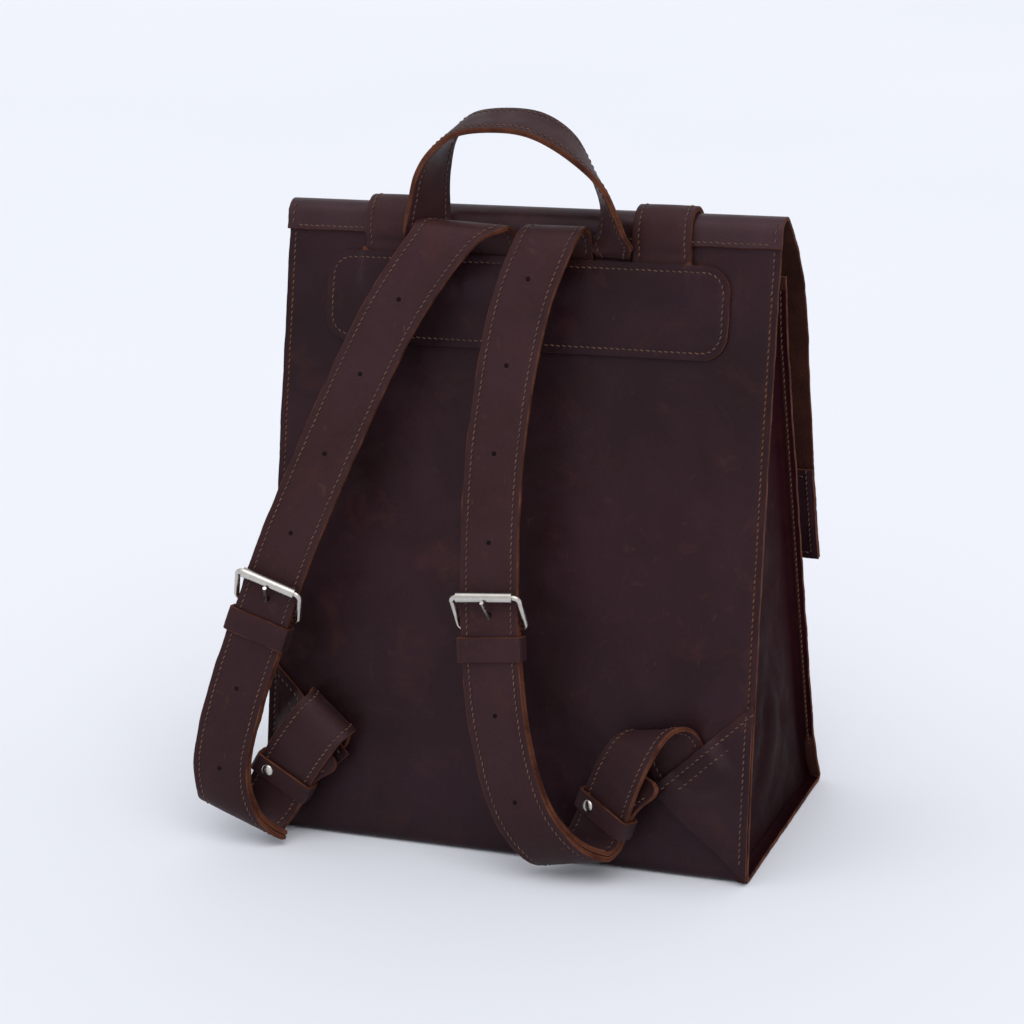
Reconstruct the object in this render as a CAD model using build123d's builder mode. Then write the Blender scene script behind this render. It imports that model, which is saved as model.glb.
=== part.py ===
from build123d import *
import os
from math import atan2, cos, degrees, radians, sin

# Leather backpack with a fold-over flap, two buckled shoulder straps and a top handle.
# Millimetres. +Z is up, the flap hangs at the front on -Y, the straps are at the back on +Y.
# The origin is on the ground, under the middle of the base.

os.makedirs("parts", exist_ok=True)

# ---------------------------------------------------------------- driving dimensions
half_width = 151.0  # half the bag's width, over the side seams
leather = 2.4  # thickness of the panels
strap_width = 35.0
strap = 3.4  # thickness of a strap, two layers sewn together
ply_gap = 0.15  # between the two layers of a doubled strap
seam_gap = 0.1  # between sewn leather faces
mouth_z = 338.0  # top edge of the front panel
back_top_z = 361.0  # top edge of the back panel
gusset_top_z = 330.0
gusset_setback = 8.5  # the side panels stand this far inside the seam edges

# The closed side outline of the bag: front top, down the front, base, up the back.
bag_outline = [
    (2.0, 372.0),
    (-4.0, 300.0),
    (-67.0, 39.0),
    (-86.5, 0.0),
    (86.3, 0.0),
    (78.7, 50.0),
    (59.4, 150.0),
    (37.3, 250.0),
    (7.5, 372.0),
]
back_low, back_high = bag_outline[7], bag_outline[8]
back_lean = degrees(atan2(back_low[0] - back_high[0], back_high[1] - back_low[1]))

# The fold at the top of the flap, and the flap's outer face below it.
fold_centre = (1.85, 361.5)
fold_radius = 10.5  # to the flap's outer face
fold_end_angle = 135.0  # where the fold runs into the hanging flap, from +Y
flap_half_width = 152.0
flap_sewn_z = 355.0  # lower edge of the flap's sewn end on the back panel
flap_face = [
    (-24.5, 349.5),
    (-38.0, 328.0),
    (-46.0, 303.0),
    (-56.0, 241.0),
    (-63.5, 197.0),
    (-77.0, 148.0),
]
facing = 2.0  # thickness of the reinforcement inside the flap's lower end
facing_height = 62.0
hinge_gap = 0.6  # between a fixed strap end and the part that swings

# Closure straps over the flap
closure_x = 82.4
closure_buckle_z = 206.0
# Height above the flap of the underside of the closure strap, and of the tab that holds the
# buckle: (height, z) from the top down.
closure_heights = [
    (0.1, 372.0),
    (0.1, 240.0),
    (2.5, 229.0),
    (7.35, 209.0),
    (7.35, 203.0),
    (6.05, 197.0),
    (6.05, 170.0),
]
tab_heights = [(2.5, 205.0), (2.5, 178.0), (0.1, 166.0), (0.1, 116.0)]
tab_magnet_z = 129.0
panel_magnet_z = 119.5
magnet_radius = 7.0
magnet_height = 2.2

# Back patch over the strap ends
patch_size = (247.0, 54.0)
patch_centre_z = 318.0
patch_corner = 15.0

# Buckles and their leather keepers
wire_radius = 1.7
frame_size = (44.5, 26.0)  # between the outer faces of the wire
frame_corner = 5.0
roller_radius = 3.1
roller_length = 34.0
prong_radius = 1.15
prong_eye_wall = 1.5
prong_eye_length = 4.8
prong_slot_width = 4.4
prong_notch_width = 6.0  # in the leather loop round the heel bar
prong_notch_radius = 8.0
wire_clearance = 0.06  # running fit of rollers and prongs on the wire
running_bore = wire_radius + wire_clearance
loop_leather = 1.7  # leather round the heel bar, pared down
keeper_height = 14.5
sliding_keeper_height = 12.0
keeper_leather = 2.0
keeper_clearance = 0.35  # between a keeper and the straps in it
sliding_keeper_room = 0.4  # a sliding keeper's extra clearance above and below
keeper_corner = 2.4
rivet_radius = 3.6
rivet_height = 1.0
rivet_offset = 9.0  # from the middle of the strap

# Shoulder straps: where the middle of the joint between the two layers runs, from the sewn end
# under the back patch, over a short arch, down the back, round a low bend and up to the sewn end
# under the corner patch. x, y, z, then how the width lies: turned about Z and dipped, in degrees.
right_route = [
    (-24, 20.4, 336, 0, 0),
    (-24, 17.95, 346, 0, 0),
    (-24, 19.6, 356, 0, 0),
    (-24, 28.5, 363, 0, 0),
    (-20, 38, 357, 0, 2),
    (-10, 49, 327, 0, 8),
    (-4, 63, 285, 0, 4),
    (-1, 78, 235, 0, 2),
    (-2, 92, 180, 0, 0),
    (-6, 104, 125, 0, -4),
    (-14, 113, 82, 0, -12),
    (-26, 118, 46, 2, -24),
    (-41, 115, 23, 8, -24),
    (-54, 106, 14, 14, -14),
    (-63, 98, 22, 20, 0),
    (-71, 97, 42, 26, 12),
    (-79, 99, 62, 30, 12),
    (-88, 97, 80, 32, 2),
    (-96, 89, 87, 28, -15),
    (-103, 82, 80, 8, -32),
    (-109, 79.5, 68, -10, -42),
    (-118, 81.4, 56, -11, -45),
]
left_route = [
    (22.2, 20.4, 336, 0, 0),
    (22.2, 17.95, 346, 0, 0),
    (23.1, 19.8, 356, 0, 1),
    (30.6, 29, 363, 0, 3),
    (42, 38, 357, 0, 9),
    (66, 50, 322, 0, 22),
    (86, 64, 280, 0, 22),
    (105, 80, 232, 0, 21),
    (124, 94, 183, 0, 20),
    (142, 105, 130, 0, 18),
    (155, 113, 88, 0, 15),
    (163, 117, 52, 0, 14),
    (160, 116, 26, 2, 18),
    (151, 108, 16, 2, 22),
    (141, 101, 24, 4, 30),
    (130, 100, 43, 2, 36),
    (119, 101, 60, 0, 38),
    (109, 98, 74, 0, 40),
    (104, 90, 79, 0, 42),
    (108, 82, 77, 4, 43),
    (113, 79.6, 67, 10, 44),
    (121, 81.4, 56, 11, 45),
]
# Places along a shoulder strap's route, counted in its points
sewn_end = 0.0
arch_end = 4.0
buckle_places = {"right": 8.6, "left": 8.7}
keeper_places = {"right": 8.81, "left": 8.91}
slide_keeper_place = 14.9
tail_end = 16.2
corner_arch = 17.9
corner_end = 21.0
hole_pitch = 50.0
hole_radius = 1.5

# The handle, between its two sewn ends
handle_width = 30.0
handle_end_width = 20.6  # where it passes under the back patch
handle_route = [
    (53.7, 18.35, 336, 0, 0),
    (53.7, 16.4, 344, 0, 0),
    (54.0, 16.6, 347.5, -3, 0),
    (55.0, 23.2, 352.5, -12, 0),
    (56.6, 25.2, 362, -44, 0),
    (55.5, 25, 378, -61, -4),
    (52.5, 24.5, 396, -70, -8),
    (45, 25, 411, -80, -12),
    (31, 25, 422, -87, -14),
    (8, 25, 425, -90, -14),
    (-13, 24.5, 422, -93, -14),
    (-32, 24.5, 411, -102, -12),
    (-46, 24.5, 394, -118, -8),
    (-54, 25, 376, -122, -4),
    (-56.0, 25.0, 362, -136, 0),
    (-55.0, 23.2, 352.5, -168, 0),
    (-53.5, 16.6, 347.5, -177, 0),
    (-53.2, 16.4, 344, -180, 0),
    (-53.2, 18.35, 336, -180, 0),
]
# The part of the handle's route that swings
handle_first = 3.6
handle_last = len(handle_route) - 1 - handle_first

# Corner patches: the point at the seam, the point on the panel, the lowest point
corner_patch = [(150.5, 104.0), (94.0, 52.0), (150.5, 2.0)]


# ---------------------------------------------------------------- helpers
def at_level(points, z):
    """The first coordinate of a line of (value, z) points, at a height."""
    for (v0, z0), (v1, z1) in zip(points, points[1:]):
        if min(z0, z1) <= z <= max(z0, z1):
            return v0 + (v1 - v0) * (z - z0) / (z1 - z0)
    raise ValueError(f"no point at z {z}")


def back_y(z):
    """Y of the back panel's outer face at a height."""
    return at_level(bag_outline[4:], z)


def front_y(z):
    """Y of the front panel's outer face at a height."""
    return at_level(bag_outline[:4], z)


def route_point(stations, u):
    """A smooth place on a route: position, turn and dip together."""
    i = min(int(u), len(stations) - 2)
    f = u - i
    p1, p2 = stations[i], stations[i + 1]
    p0 = stations[i - 1] if i > 0 else [2 * a - b for a, b in zip(p1, p2)]
    p3 = stations[i + 2] if i + 2 < len(stations) else [2 * b - a for a, b in zip(p1, p2)]
    return [
        0.5 * (2 * b + (c - a) * f + (2 * a - 5 * b + 4 * c - d) * f**2 + (3 * b - a - 3 * c + d) * f**3)
        for a, b, c, d in zip(p0, p1, p2, p3)
    ]


def strap_frame(stations, u):
    """Place on a strap, the way along it, across it (not always square) and out of its face."""
    here = route_point(stations, u)
    step = 0.02
    ahead = route_point(stations, min(u + step, len(stations) - 1))
    behind = route_point(stations, max(u - step, 0))
    along = (Vector(*ahead[:3]) - Vector(*behind[:3])).normalized()
    turn, dip = radians(here[3]), radians(here[4])
    across = Vector(-cos(turn) * cos(dip), sin(turn) * cos(dip), -sin(dip))
    outward = along.cross(across)
    return Vector(*here[:3]), along, across, outward


def strap_plane(stations, u, shift=0.0):
    """Plane square across a strap: X over its width, Y out of its outer face, Z along it."""
    place, along, across, outward = strap_frame(stations, u)
    outward = outward.normalized()
    return Plane(origin=place + outward * shift, x_dir=outward.cross(along), z_dir=along)


def route_length(stations, u0, u1):
    """Length of a route between two places."""
    count = max(2, int((u1 - u0) * 8))
    points = [Vector(*route_point(stations, u0 + (u1 - u0) * i / count)[:3]) for i in range(count + 1)]
    return sum((b - a).length for a, b in zip(points, points[1:]))


def route_place(stations, u0, distance):
    """The place a given distance further along a route."""
    u = u0
    while distance > 0:
        distance -= route_length(stations, u, u + 0.05)
        u += 0.05
    return u


def strap_sections(stations, u0, u1, shift, width=strap_width, per_point=3, breaks=()):
    """Sections of a strap, ready for a loft. Each lies along the line that the leather bends
    about, so a strap that turns sideways in a bend keeps its width."""
    places = {round(k / per_point, 4) for k in range(len(stations) * per_point)}
    places |= set(breaks)
    places = [u for u in sorted(places) if u0 + 0.02 < u < u1 - 0.02]
    sections = []
    for u in [u0, *places, u1]:
        place, along, across, outward = strap_frame(stations, u)
        slant = outward.length
        outward = outward.normalized()
        plane = Plane(origin=place + outward * shift, x_dir=across, z_dir=across.cross(outward))
        full = width(u) if callable(width) else width
        with BuildSketch(plane) as section:
            Rectangle(full / slant, strap)
        sections.append(section.sketch)
    return sections


def handle_width_at(u):
    """The handle is narrower at its hidden ends."""
    from_end = min(u, len(handle_route) - 1 - u)
    share = min(max(from_end - 2.6, 0.0), 1.0)
    return handle_end_width + (handle_width - handle_end_width) * share


def layered_strip(x, width, points, low, high):
    """A strip of leather laid on a face given by (y, z) points, between two heights above it."""
    outer = offset_path(points, high)
    inner = offset_path(points, low)
    with BuildSketch(Plane.YZ.offset(x - width / 2)) as side:
        Polygon(*outer, *reversed(inner), align=None)
    extrude(side.sketch, amount=width)


def offset_path(points, distances):
    """Points moved outwards from an open path, mitred at the corners, by one distance or by a
    distance for each point. Outwards is to the right of the way along the path."""
    if not isinstance(distances, list):
        distances = [distances] * len(points)
    normals = []
    for (y0, z0), (y1, z1) in zip(points, points[1:]):
        length = ((y1 - y0) ** 2 + (z1 - z0) ** 2) ** 0.5
        normals.append(((z1 - z0) / length, -(y1 - y0) / length))
    moved = []
    for i, ((y, z), distance) in enumerate(zip(points, distances)):
        before = normals[max(i - 1, 0)]
        after = normals[min(i, len(normals) - 1)]
        scale = distance / (1 + before[0] * after[0] + before[1] * after[1])
        moved.append((y + (before[0] + after[0]) * scale, z + (before[1] + after[1]) * scale))
    return moved


def fold_path(angle0, angle1, steps, radius):
    """Points on the flap's fold, from one angle to another."""
    angles = [radians(angle0 + (angle1 - angle0) * i / steps) for i in range(steps + 1)]
    return [(fold_centre[0] + radius * cos(a), fold_centre[1] + radius * sin(a)) for a in angles]


def finish(builder, name):
    builder.part.label = name
    export_step(builder.part, f"parts/{name}.step")


def bag_section(inset):
    """The bag's side outline, drawn in by a distance all round."""
    Polygon(*bag_outline, align=None)
    if inset:
        offset(amount=-inset, kind=Kind.INTERSECTION)


# ---------------------------------------------------------------- the bag
# One piece of leather makes the front, the base and the back: its bottom edges are folded.
with BuildPart() as body_wrap:
    with BuildSketch(Plane.YZ.offset(-half_width)):
        bag_section(0)
    extrude(amount=2 * half_width)
    with BuildSketch(Plane.YZ.offset(-half_width - 1)):
        bag_section(leather)
        with Locations((fold_centre[0] - 20, (mouth_z + 380) / 2)):
            Rectangle(2 * (20 + 3.4), 380 - mouth_z)
        with Locations((0, (back_top_z + 380) / 2)):
            Rectangle(60, 380 - back_top_z)
    extrude(amount=2 * half_width + 2, mode=Mode.SUBTRACT)
    base_edges = body_wrap.edges().filter_by(Axis.X).group_by(Axis.Z)[0]
    fillet(base_edges, radius=1.6)
finish(body_wrap, "body_wrap")

# Side panels: a flat web with flanges turned out to the seam edges.
for side, name in ((-1, "gusset_right"), (1, "gusset_left")):
    web = half_width - gusset_setback
    start = side * (web - leather) if side > 0 else -half_width
    pocket = side * web if side > 0 else -half_width - 1
    with BuildPart() as gusset:
        with BuildSketch(Plane.YZ.offset(start)):
            bag_section(leather + seam_gap)
        extrude(amount=gusset_setback + leather)
        with BuildSketch(Plane.YZ.offset(pocket)):
            bag_section(2 * leather + seam_gap)
        extrude(amount=gusset_setback + 1, mode=Mode.SUBTRACT)
        with BuildSketch(Plane.XY.offset(gusset_top_z)):
            Rectangle(2 * half_width + 10, 400)
        extrude(amount=60, mode=Mode.SUBTRACT)
    finish(gusset, name)

# Back patch: a rounded plate whose top half is lifted by the strap ends below it.
patch_plane = Plane(
    origin=(0, back_y(patch_centre_z), patch_centre_z),
    x_dir=(-1, 0, 0),
    z_dir=(0, cos(radians(back_lean)), sin(radians(back_lean))),
)
lift = strap + 0.65
with BuildPart() as back_patch:
    profile_plane = Plane(
        origin=patch_plane.origin + patch_plane.x_dir * (-patch_size[0] / 2),
        x_dir=patch_plane.y_dir,
        z_dir=patch_plane.x_dir,
    )
    low_y, ramp_y, flat_y, top_y = -patch_size[1] / 2, -4.0, 9.0, patch_size[1] / 2
    with BuildSketch(profile_plane):
        with BuildLine():
            Polyline(
                (low_y, seam_gap),
                (ramp_y, seam_gap),
                (flat_y, lift),
                (top_y, lift),
                (top_y, lift + leather),
                (flat_y, lift + leather),
                (ramp_y, seam_gap + leather),
                (low_y, seam_gap + leather),
                close=True,
            )
        make_face()
    extrude(amount=patch_size[0])
    with BuildSketch(patch_plane.offset(-1)):
        RectangleRounded(*patch_size, patch_corner)
    extrude(amount=12, mode=Mode.INTERSECT)
finish(back_patch, "back_patch")

# Corner patches: triangles over the lower strap ends, lifted along the side that the strap leaves.
corner_lift = strap + 1.8
for side, name in ((-1, "corner_patch_right"), (1, "corner_patch_left")):
    top, inner, low = corner_patch
    corners = [
        Vector(side * top[0], back_y(top[1]) + corner_lift, top[1]),
        Vector(side * inner[0], back_y(inner[1]) + corner_lift, inner[1]),
        Vector(side * low[0], back_y(low[1]) + 0.7, low[1]),
    ]
    ends = (corners[1], corners[2]) if side < 0 else (corners[2], corners[1])
    normal = (ends[1] - corners[0]).cross(ends[0] - corners[0]).normalized()
    patch_face_plane = Plane(origin=corners[0], x_dir=(ends[0] - corners[0]).normalized(), z_dir=normal)
    with BuildPart() as corner:
        with BuildSketch(patch_face_plane):
            with BuildLine():
                Polyline(*[patch_face_plane.to_local_coords(c) for c in corners], close=True)
            make_face()
        extrude(amount=leather if normal.Y > 0 else -leather)
    finish(corner, name)

# ---------------------------------------------------------------- the flap
fold_line = fold_path(back_lean, fold_end_angle, 10, fold_radius - leather)
with BuildPart() as flap_fold:
    sewn_line = [(back_y(flap_sewn_z) + seam_gap, flap_sewn_z)] + fold_line
    layered_strip(0, 2 * flap_half_width, sewn_line, 0, leather)
finish(flap_fold, "flap_fold")

fold_exit = fold_path(fold_end_angle, fold_end_angle, 1, fold_radius)[0]
exit_direction = radians(fold_end_angle + 90)
flap_start = (
    fold_exit[0] + hinge_gap * cos(exit_direction),
    fold_exit[1] + hinge_gap * sin(exit_direction),
)
flap_line = [flap_start] + flap_face
with BuildPart() as flap:
    layered_strip(0, 2 * flap_half_width, flap_line, -leather, 0)
finish(flap, "flap")


with BuildPart() as flap_facing:
    facing_top = flap_face[-1][1] + facing_height
    facing_line = [(at_level(flap_line, facing_top), facing_top)]
    facing_line += [point for point in flap_line if point[1] < facing_top]
    facing_outer = -leather - seam_gap
    layered_strip(0, 2 * flap_half_width - 1, facing_line, facing_outer - facing, facing_outer)
finish(flap_facing, "flap_facing")

# The tab hangs on below the flap's edge, in the same line.
last, end = flap_face[-2], flap_face[-1]
slope = (end[0] - last[0]) / (end[1] - last[1])
tab_low = tab_heights[-1][1]
long_line = flap_line[:-1] + [(end[0] + slope * (tab_low - end[1]), tab_low)]


def face_plane(z, x, height):
    """Plane on the flap's face: X to +X, Y up the flap, Z outwards, at a height above it."""
    y = at_level(long_line, z)
    up = Vector(0, at_level(long_line, z + 1) - y, 1).normalized()
    return Plane(origin=(x, y, z), x_dir=(1, 0, 0), z_dir=Vector(1, 0, 0).cross(up)).offset(height)


def raised_strip(x, heights):
    """A strap laid on the flap's face at changing heights above it."""
    top, bottom = min(heights[0][1], long_line[0][1]), heights[-1][1]
    levels = {z for _, z in heights + long_line if bottom < z < top} | {top, bottom}
    path = [(at_level(long_line, z), z) for z in sorted(levels, reverse=True)]
    low = [at_level(heights, z) for _, z in path]
    inner = offset_path(path, low)
    outer = offset_path(path, [height + strap for height in low])
    with BuildSketch(Plane.YZ.offset(x - strap_width / 2)) as side:
        Polygon(*outer, *reversed(inner), align=None)
    extrude(side.sketch, amount=strap_width)


# ---------------------------------------------------------------- buckle pieces
# Heights above the outer face of the lower layer. The heel bar lies in the leather loop below that
# face, the roller bar lies over the upper layer, so the frame leans.
bar_pitch = frame_size[1] - 2 * wire_radius
heel_height = -(strap / 2 + 2.0)
shoulder_roller_height = strap + roller_radius + 2.6
closure_roller_height = 2.2


def buckle_planes(base, roller_height):
    """From a plane on the layer (X across, Y towards the roller, Z out): the frame's plane, the
    heel bar's and the roller bar's centre."""
    heel = base.origin + base.z_dir * heel_height
    run = (bar_pitch**2 - (roller_height - heel_height) ** 2) ** 0.5
    up = base.y_dir * run + base.z_dir * (roller_height - heel_height)
    up = up.normalized()
    centre = heel + up * (bar_pitch / 2)
    plane = Plane(origin=centre, x_dir=base.x_dir, z_dir=base.x_dir.cross(up))
    return plane, heel, heel + up * bar_pitch


def bar_plane(plane, centre, start):
    """Plane across a bar, `start` along it from the centre."""
    return Plane(origin=centre + plane.x_dir * start, x_dir=plane.y_dir, z_dir=plane.x_dir)


def make_buckle(base, tag, roller_height):
    """Frame, roller and prong of one buckle."""
    plane, heel, roller = buckle_planes(base, roller_height)
    with BuildSketch(plane) as outline:
        RectangleRounded(frame_size[0] - 2 * wire_radius, bar_pitch, frame_corner - wire_radius)
    wire_path = outline.sketch.faces()[0].outer_wire()
    with BuildPart() as frame:
        with BuildSketch(Plane(origin=wire_path @ 0, z_dir=wire_path % 0)):
            Circle(wire_radius)
        sweep(path=wire_path)
    finish(frame, f"{tag}_frame")

    with BuildPart() as tube:
        with BuildSketch(bar_plane(plane, roller, -roller_length / 2)):
            Circle(roller_radius)
            Circle(running_bore, mode=Mode.SUBTRACT)
        extrude(amount=roller_length)
    finish(tube, f"{tag}_roller")

    # The prong: an eye round the heel bar and a round pin that rests on the roller.
    rest = roller - base.y_dir * 1.2 + plane.z_dir * (roller_radius + prong_radius + 0.12)
    reach = rest - heel
    direction = reach.normalized()
    with BuildPart() as prong:
        with BuildSketch(bar_plane(plane, heel, -prong_eye_length / 2)):
            Circle(wire_radius + prong_eye_wall)
        extrude(amount=prong_eye_length)
        with BuildSketch(Plane(origin=heel + direction * (wire_radius + 0.3), z_dir=direction)):
            Circle(prong_radius)
        extrude(amount=reach.length + 1.2 - wire_radius)
        with BuildSketch(bar_plane(plane, heel, -prong_eye_length)):
            Circle(running_bore)
        extrude(amount=2 * prong_eye_length, mode=Mode.SUBTRACT)
    finish(prong, f"{tag}_prong")
    return plane, heel, roller


def cut_prong_slot(base, length, low):
    """A slot through the upper layer, where the prong comes out."""
    with BuildSketch(base.offset(-0.5)) as slot:
        with Locations((0, low + length / 2)):
            SlotOverall(length, prong_slot_width, rotation=90)
    extrude(slot.sketch, amount=strap + 7, mode=Mode.SUBTRACT)


def heel_loop(plane, heel):
    """The lower layer folded round the heel bar."""
    with BuildSketch(bar_plane(plane, heel, -strap_width / 2)) as loop:
        Circle(running_bore + loop_leather)
    extrude(loop.sketch, amount=strap_width)


def clear_heel(plane, heel):
    """Bore for the heel bar and the notch round the prong's eye."""
    with BuildSketch(bar_plane(plane, heel, -strap_width / 2 - 1)) as bore:
        Circle(running_bore)
    extrude(bore.sketch, amount=strap_width + 2, mode=Mode.SUBTRACT)
    with BuildSketch(bar_plane(plane, heel, -prong_notch_width / 2)) as notch:
        Circle(prong_notch_radius)
    extrude(notch.sketch, amount=prong_notch_width, mode=Mode.SUBTRACT)


def make_keeper(plane, height, name, inner_low, inner_high, width=strap_width):
    """A leather band round a strap. The plane lies across the strap."""
    tall = inner_high - inner_low + 2 * keeper_clearance
    wide = width + 2 * keeper_clearance
    with BuildPart() as band:
        with BuildSketch(plane.offset(-height / 2)):
            with Locations((0, (inner_low + inner_high) / 2)):
                RectangleRounded(wide + 2 * keeper_leather, tall + 2 * keeper_leather, keeper_corner)
                Rectangle(wide, tall, mode=Mode.SUBTRACT)
        extrude(amount=height)
    finish(band, name)


# ---------------------------------------------------------------- closure straps on the flap
for side, tag in ((-1, "right"), (1, "left")):
    x = side * closure_x
    # Fixed end: from under the back patch, up over the flap's sewn edge and round the fold.
    with BuildPart() as closure_end:
        on_panel = [(back_y(z) + seam_gap, z) for z in (331.0, 346.0)]
        on_flap = [(back_y(flap_sewn_z) + leather + 2 * seam_gap + 0.3, flap_sewn_z - 1.0)]
        over = fold_path(back_lean, fold_end_angle, 10, fold_radius + seam_gap)
        layered_strip(x, strap_width, on_panel + on_flap + over, 0, strap)
    finish(closure_end, f"closure_end_{tag}")

    bend = face_plane(closure_buckle_z, x, closure_heights[3][0])
    with BuildPart() as closure:
        raised_strip(x, closure_heights)
        cut_prong_slot(bend.offset(-4), 13.0, 2.0)
    finish(closure, f"closure_strap_{tag}")

    plane, heel, roller = buckle_planes(bend, closure_roller_height)
    with BuildPart() as tab:
        raised_strip(x, tab_heights)
        heel_loop(plane, heel)
        clear_heel(plane, heel)
    finish(tab, f"closure_tab_{tag}")
    make_buckle(bend, f"closure_buckle_{tag}", closure_roller_height)
    keeper_at = face_plane(closure_buckle_z - 20, x, 0)
    across = Plane(origin=keeper_at.origin, x_dir=keeper_at.x_dir, z_dir=-keeper_at.y_dir)
    keeper_top = closure_heights[-1][0] + strap
    make_keeper(across, keeper_height, f"closure_keeper_{tag}", tab_heights[0][0], keeper_top)

    # Magnetic closer: one half inside the tab, the other on the front panel below the flap.
    low_tab = face_plane(tab_magnet_z, x, 0)
    with BuildPart() as magnet:
        with BuildSketch(low_tab):
            Circle(magnet_radius)
        extrude(amount=-magnet_height)
    finish(magnet, f"tab_magnet_{tag}")
    tilt = Vector(0, bag_outline[1][0] - bag_outline[2][0], bag_outline[1][1] - bag_outline[2][1])
    panel_plane = Plane(
        origin=(x, front_y(panel_magnet_z) - seam_gap, panel_magnet_z),
        x_dir=(1, 0, 0),
        z_dir=Vector(1, 0, 0).cross(tilt.normalized()),
    )
    with BuildPart() as plate:
        with BuildSketch(panel_plane):
            Circle(magnet_radius)
        extrude(amount=magnet_height)
    finish(plate, f"panel_magnet_{tag}")

# ---------------------------------------------------------------- the handle
with BuildPart() as handle:
    loft(strap_sections(handle_route, handle_first, handle_last, 0, handle_width_at), ruled=True)
finish(handle, "handle")
last_point = len(handle_route) - 1
for tag, u0, u1 in (("left", 0, handle_first - 0.06), ("right", handle_last + 0.06, last_point)):
    with BuildPart() as handle_end:
        loft(strap_sections(handle_route, u0, u1, 0, handle_width_at), ruled=True)
    finish(handle_end, f"handle_end_{tag}")

# ---------------------------------------------------------------- the shoulder straps
upper_shift = strap / 2 + ply_gap / 2
for tag, route in (("right", right_route), ("left", left_route)):
    buckle_place = buckle_places[tag]
    lower_start = buckle_place + 0.02
    breaks = (lower_start, tail_end)
    with BuildPart() as strap_end:
        loft(strap_sections(route, sewn_end, arch_end - 0.05, upper_shift), ruled=True)
    finish(strap_end, f"strap_end_{tag}")

    across = strap_plane(route, buckle_place, ply_gap / 2 * -1)
    base = Plane(origin=across.origin, x_dir=across.x_dir, z_dir=across.y_dir)
    with BuildPart() as upper:
        loft(strap_sections(route, arch_end, tail_end, upper_shift, breaks=breaks), ruled=True)
        cut_prong_slot(base, 10.0, 1.0)
        to_buckle = route_length(route, arch_end, buckle_place)
        for count in (-4, -3, -2, -1, 1, 2):
            hole_at = route_place(route, arch_end, to_buckle + count * hole_pitch)
            place = strap_plane(route, hole_at, upper_shift)
            hole_plane = Plane(origin=place.origin, x_dir=place.x_dir, z_dir=place.y_dir)
            with BuildSketch(hole_plane.offset(-4)):
                Circle(hole_radius)
            extrude(amount=8, mode=Mode.SUBTRACT)
    finish(upper, f"shoulder_strap_{tag}")

    plane, heel, roller = buckle_planes(base, shoulder_roller_height)
    with BuildPart() as lower:
        sections = strap_sections(route, lower_start, corner_arch, -upper_shift, breaks=breaks)
        loft(sections, ruled=True)
        heel_loop(plane, heel)
        clear_heel(plane, heel)
    finish(lower, f"lower_strap_{tag}")

    with BuildPart() as corner_strap_end:
        loft(strap_sections(route, corner_arch + 0.06, corner_end, -upper_shift), ruled=True)
    finish(corner_strap_end, f"corner_strap_end_{tag}")

    make_buckle(base, f"shoulder_buckle_{tag}", shoulder_roller_height)
    inner = strap + ply_gap
    make_keeper(strap_plane(route, keeper_places[tag]), keeper_height, f"fixed_keeper_{tag}", -inner, inner)
    slide_plane = strap_plane(route, slide_keeper_place)
    outer_reach = inner + sliding_keeper_room
    make_keeper(slide_plane, sliding_keeper_height, f"sliding_keeper_{tag}", -outer_reach, outer_reach)

    # The rivet that closes the lower keeper, on the side that faces out.
    out = outer_reach + keeper_clearance + keeper_leather + 0.05
    rivet_at = slide_plane.origin - slide_plane.y_dir * out - slide_plane.x_dir * rivet_offset
    with BuildPart() as rivet:
        with BuildSketch(Plane(origin=rivet_at, z_dir=-slide_plane.y_dir)):
            Circle(rivet_radius)
        extrude(amount=rivet_height)
    finish(rivet, f"keeper_rivet_{tag}")
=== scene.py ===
import math

import bmesh
import bpy
import numpy as np
from mathutils import Matrix, Vector


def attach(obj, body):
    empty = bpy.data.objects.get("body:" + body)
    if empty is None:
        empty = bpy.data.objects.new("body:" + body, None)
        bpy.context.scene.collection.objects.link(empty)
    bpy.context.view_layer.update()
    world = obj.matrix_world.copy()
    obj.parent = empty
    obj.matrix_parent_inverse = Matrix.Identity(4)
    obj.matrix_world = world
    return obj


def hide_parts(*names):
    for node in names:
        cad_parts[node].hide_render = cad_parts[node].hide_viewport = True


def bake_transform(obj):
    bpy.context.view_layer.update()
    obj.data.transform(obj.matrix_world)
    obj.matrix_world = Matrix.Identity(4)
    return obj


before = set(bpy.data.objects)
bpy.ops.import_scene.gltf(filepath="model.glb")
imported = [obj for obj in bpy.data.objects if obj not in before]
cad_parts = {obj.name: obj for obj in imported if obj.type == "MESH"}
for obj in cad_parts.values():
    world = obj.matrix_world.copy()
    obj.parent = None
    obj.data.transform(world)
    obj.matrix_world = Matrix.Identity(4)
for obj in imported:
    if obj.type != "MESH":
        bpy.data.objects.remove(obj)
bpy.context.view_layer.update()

MM = 0.001
rng = np.random.default_rng(11)

# ------------------------------------------------------------------ sizes, as in the CAD part
HALF_WIDTH = 151.0
LEATHER = 2.4
STRAP_WIDTH = 35.0
STRAP = 3.4
FLAP_HALF = 152.0
FOLD_CENTRE = (1.85, 361.5)
FOLD_RADIUS = 10.5
FOLD_END = 135.0
FLAP_FACE = [
    (-24.5, 349.5), (-38.0, 328.0), (-46.0, 303.0), (-56.0, 241.0), (-63.5, 197.0), (-77.0, 148.0),
]
OUTLINE = [
    (2.0, 372.0), (-4.0, 300.0), (-67.0, 39.0), (-86.5, 0.0),
    (86.3, 0.0), (78.7, 50.0), (59.4, 150.0), (37.3, 250.0), (7.5, 372.0),
]
CLOSURE_X = 82.4
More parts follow.
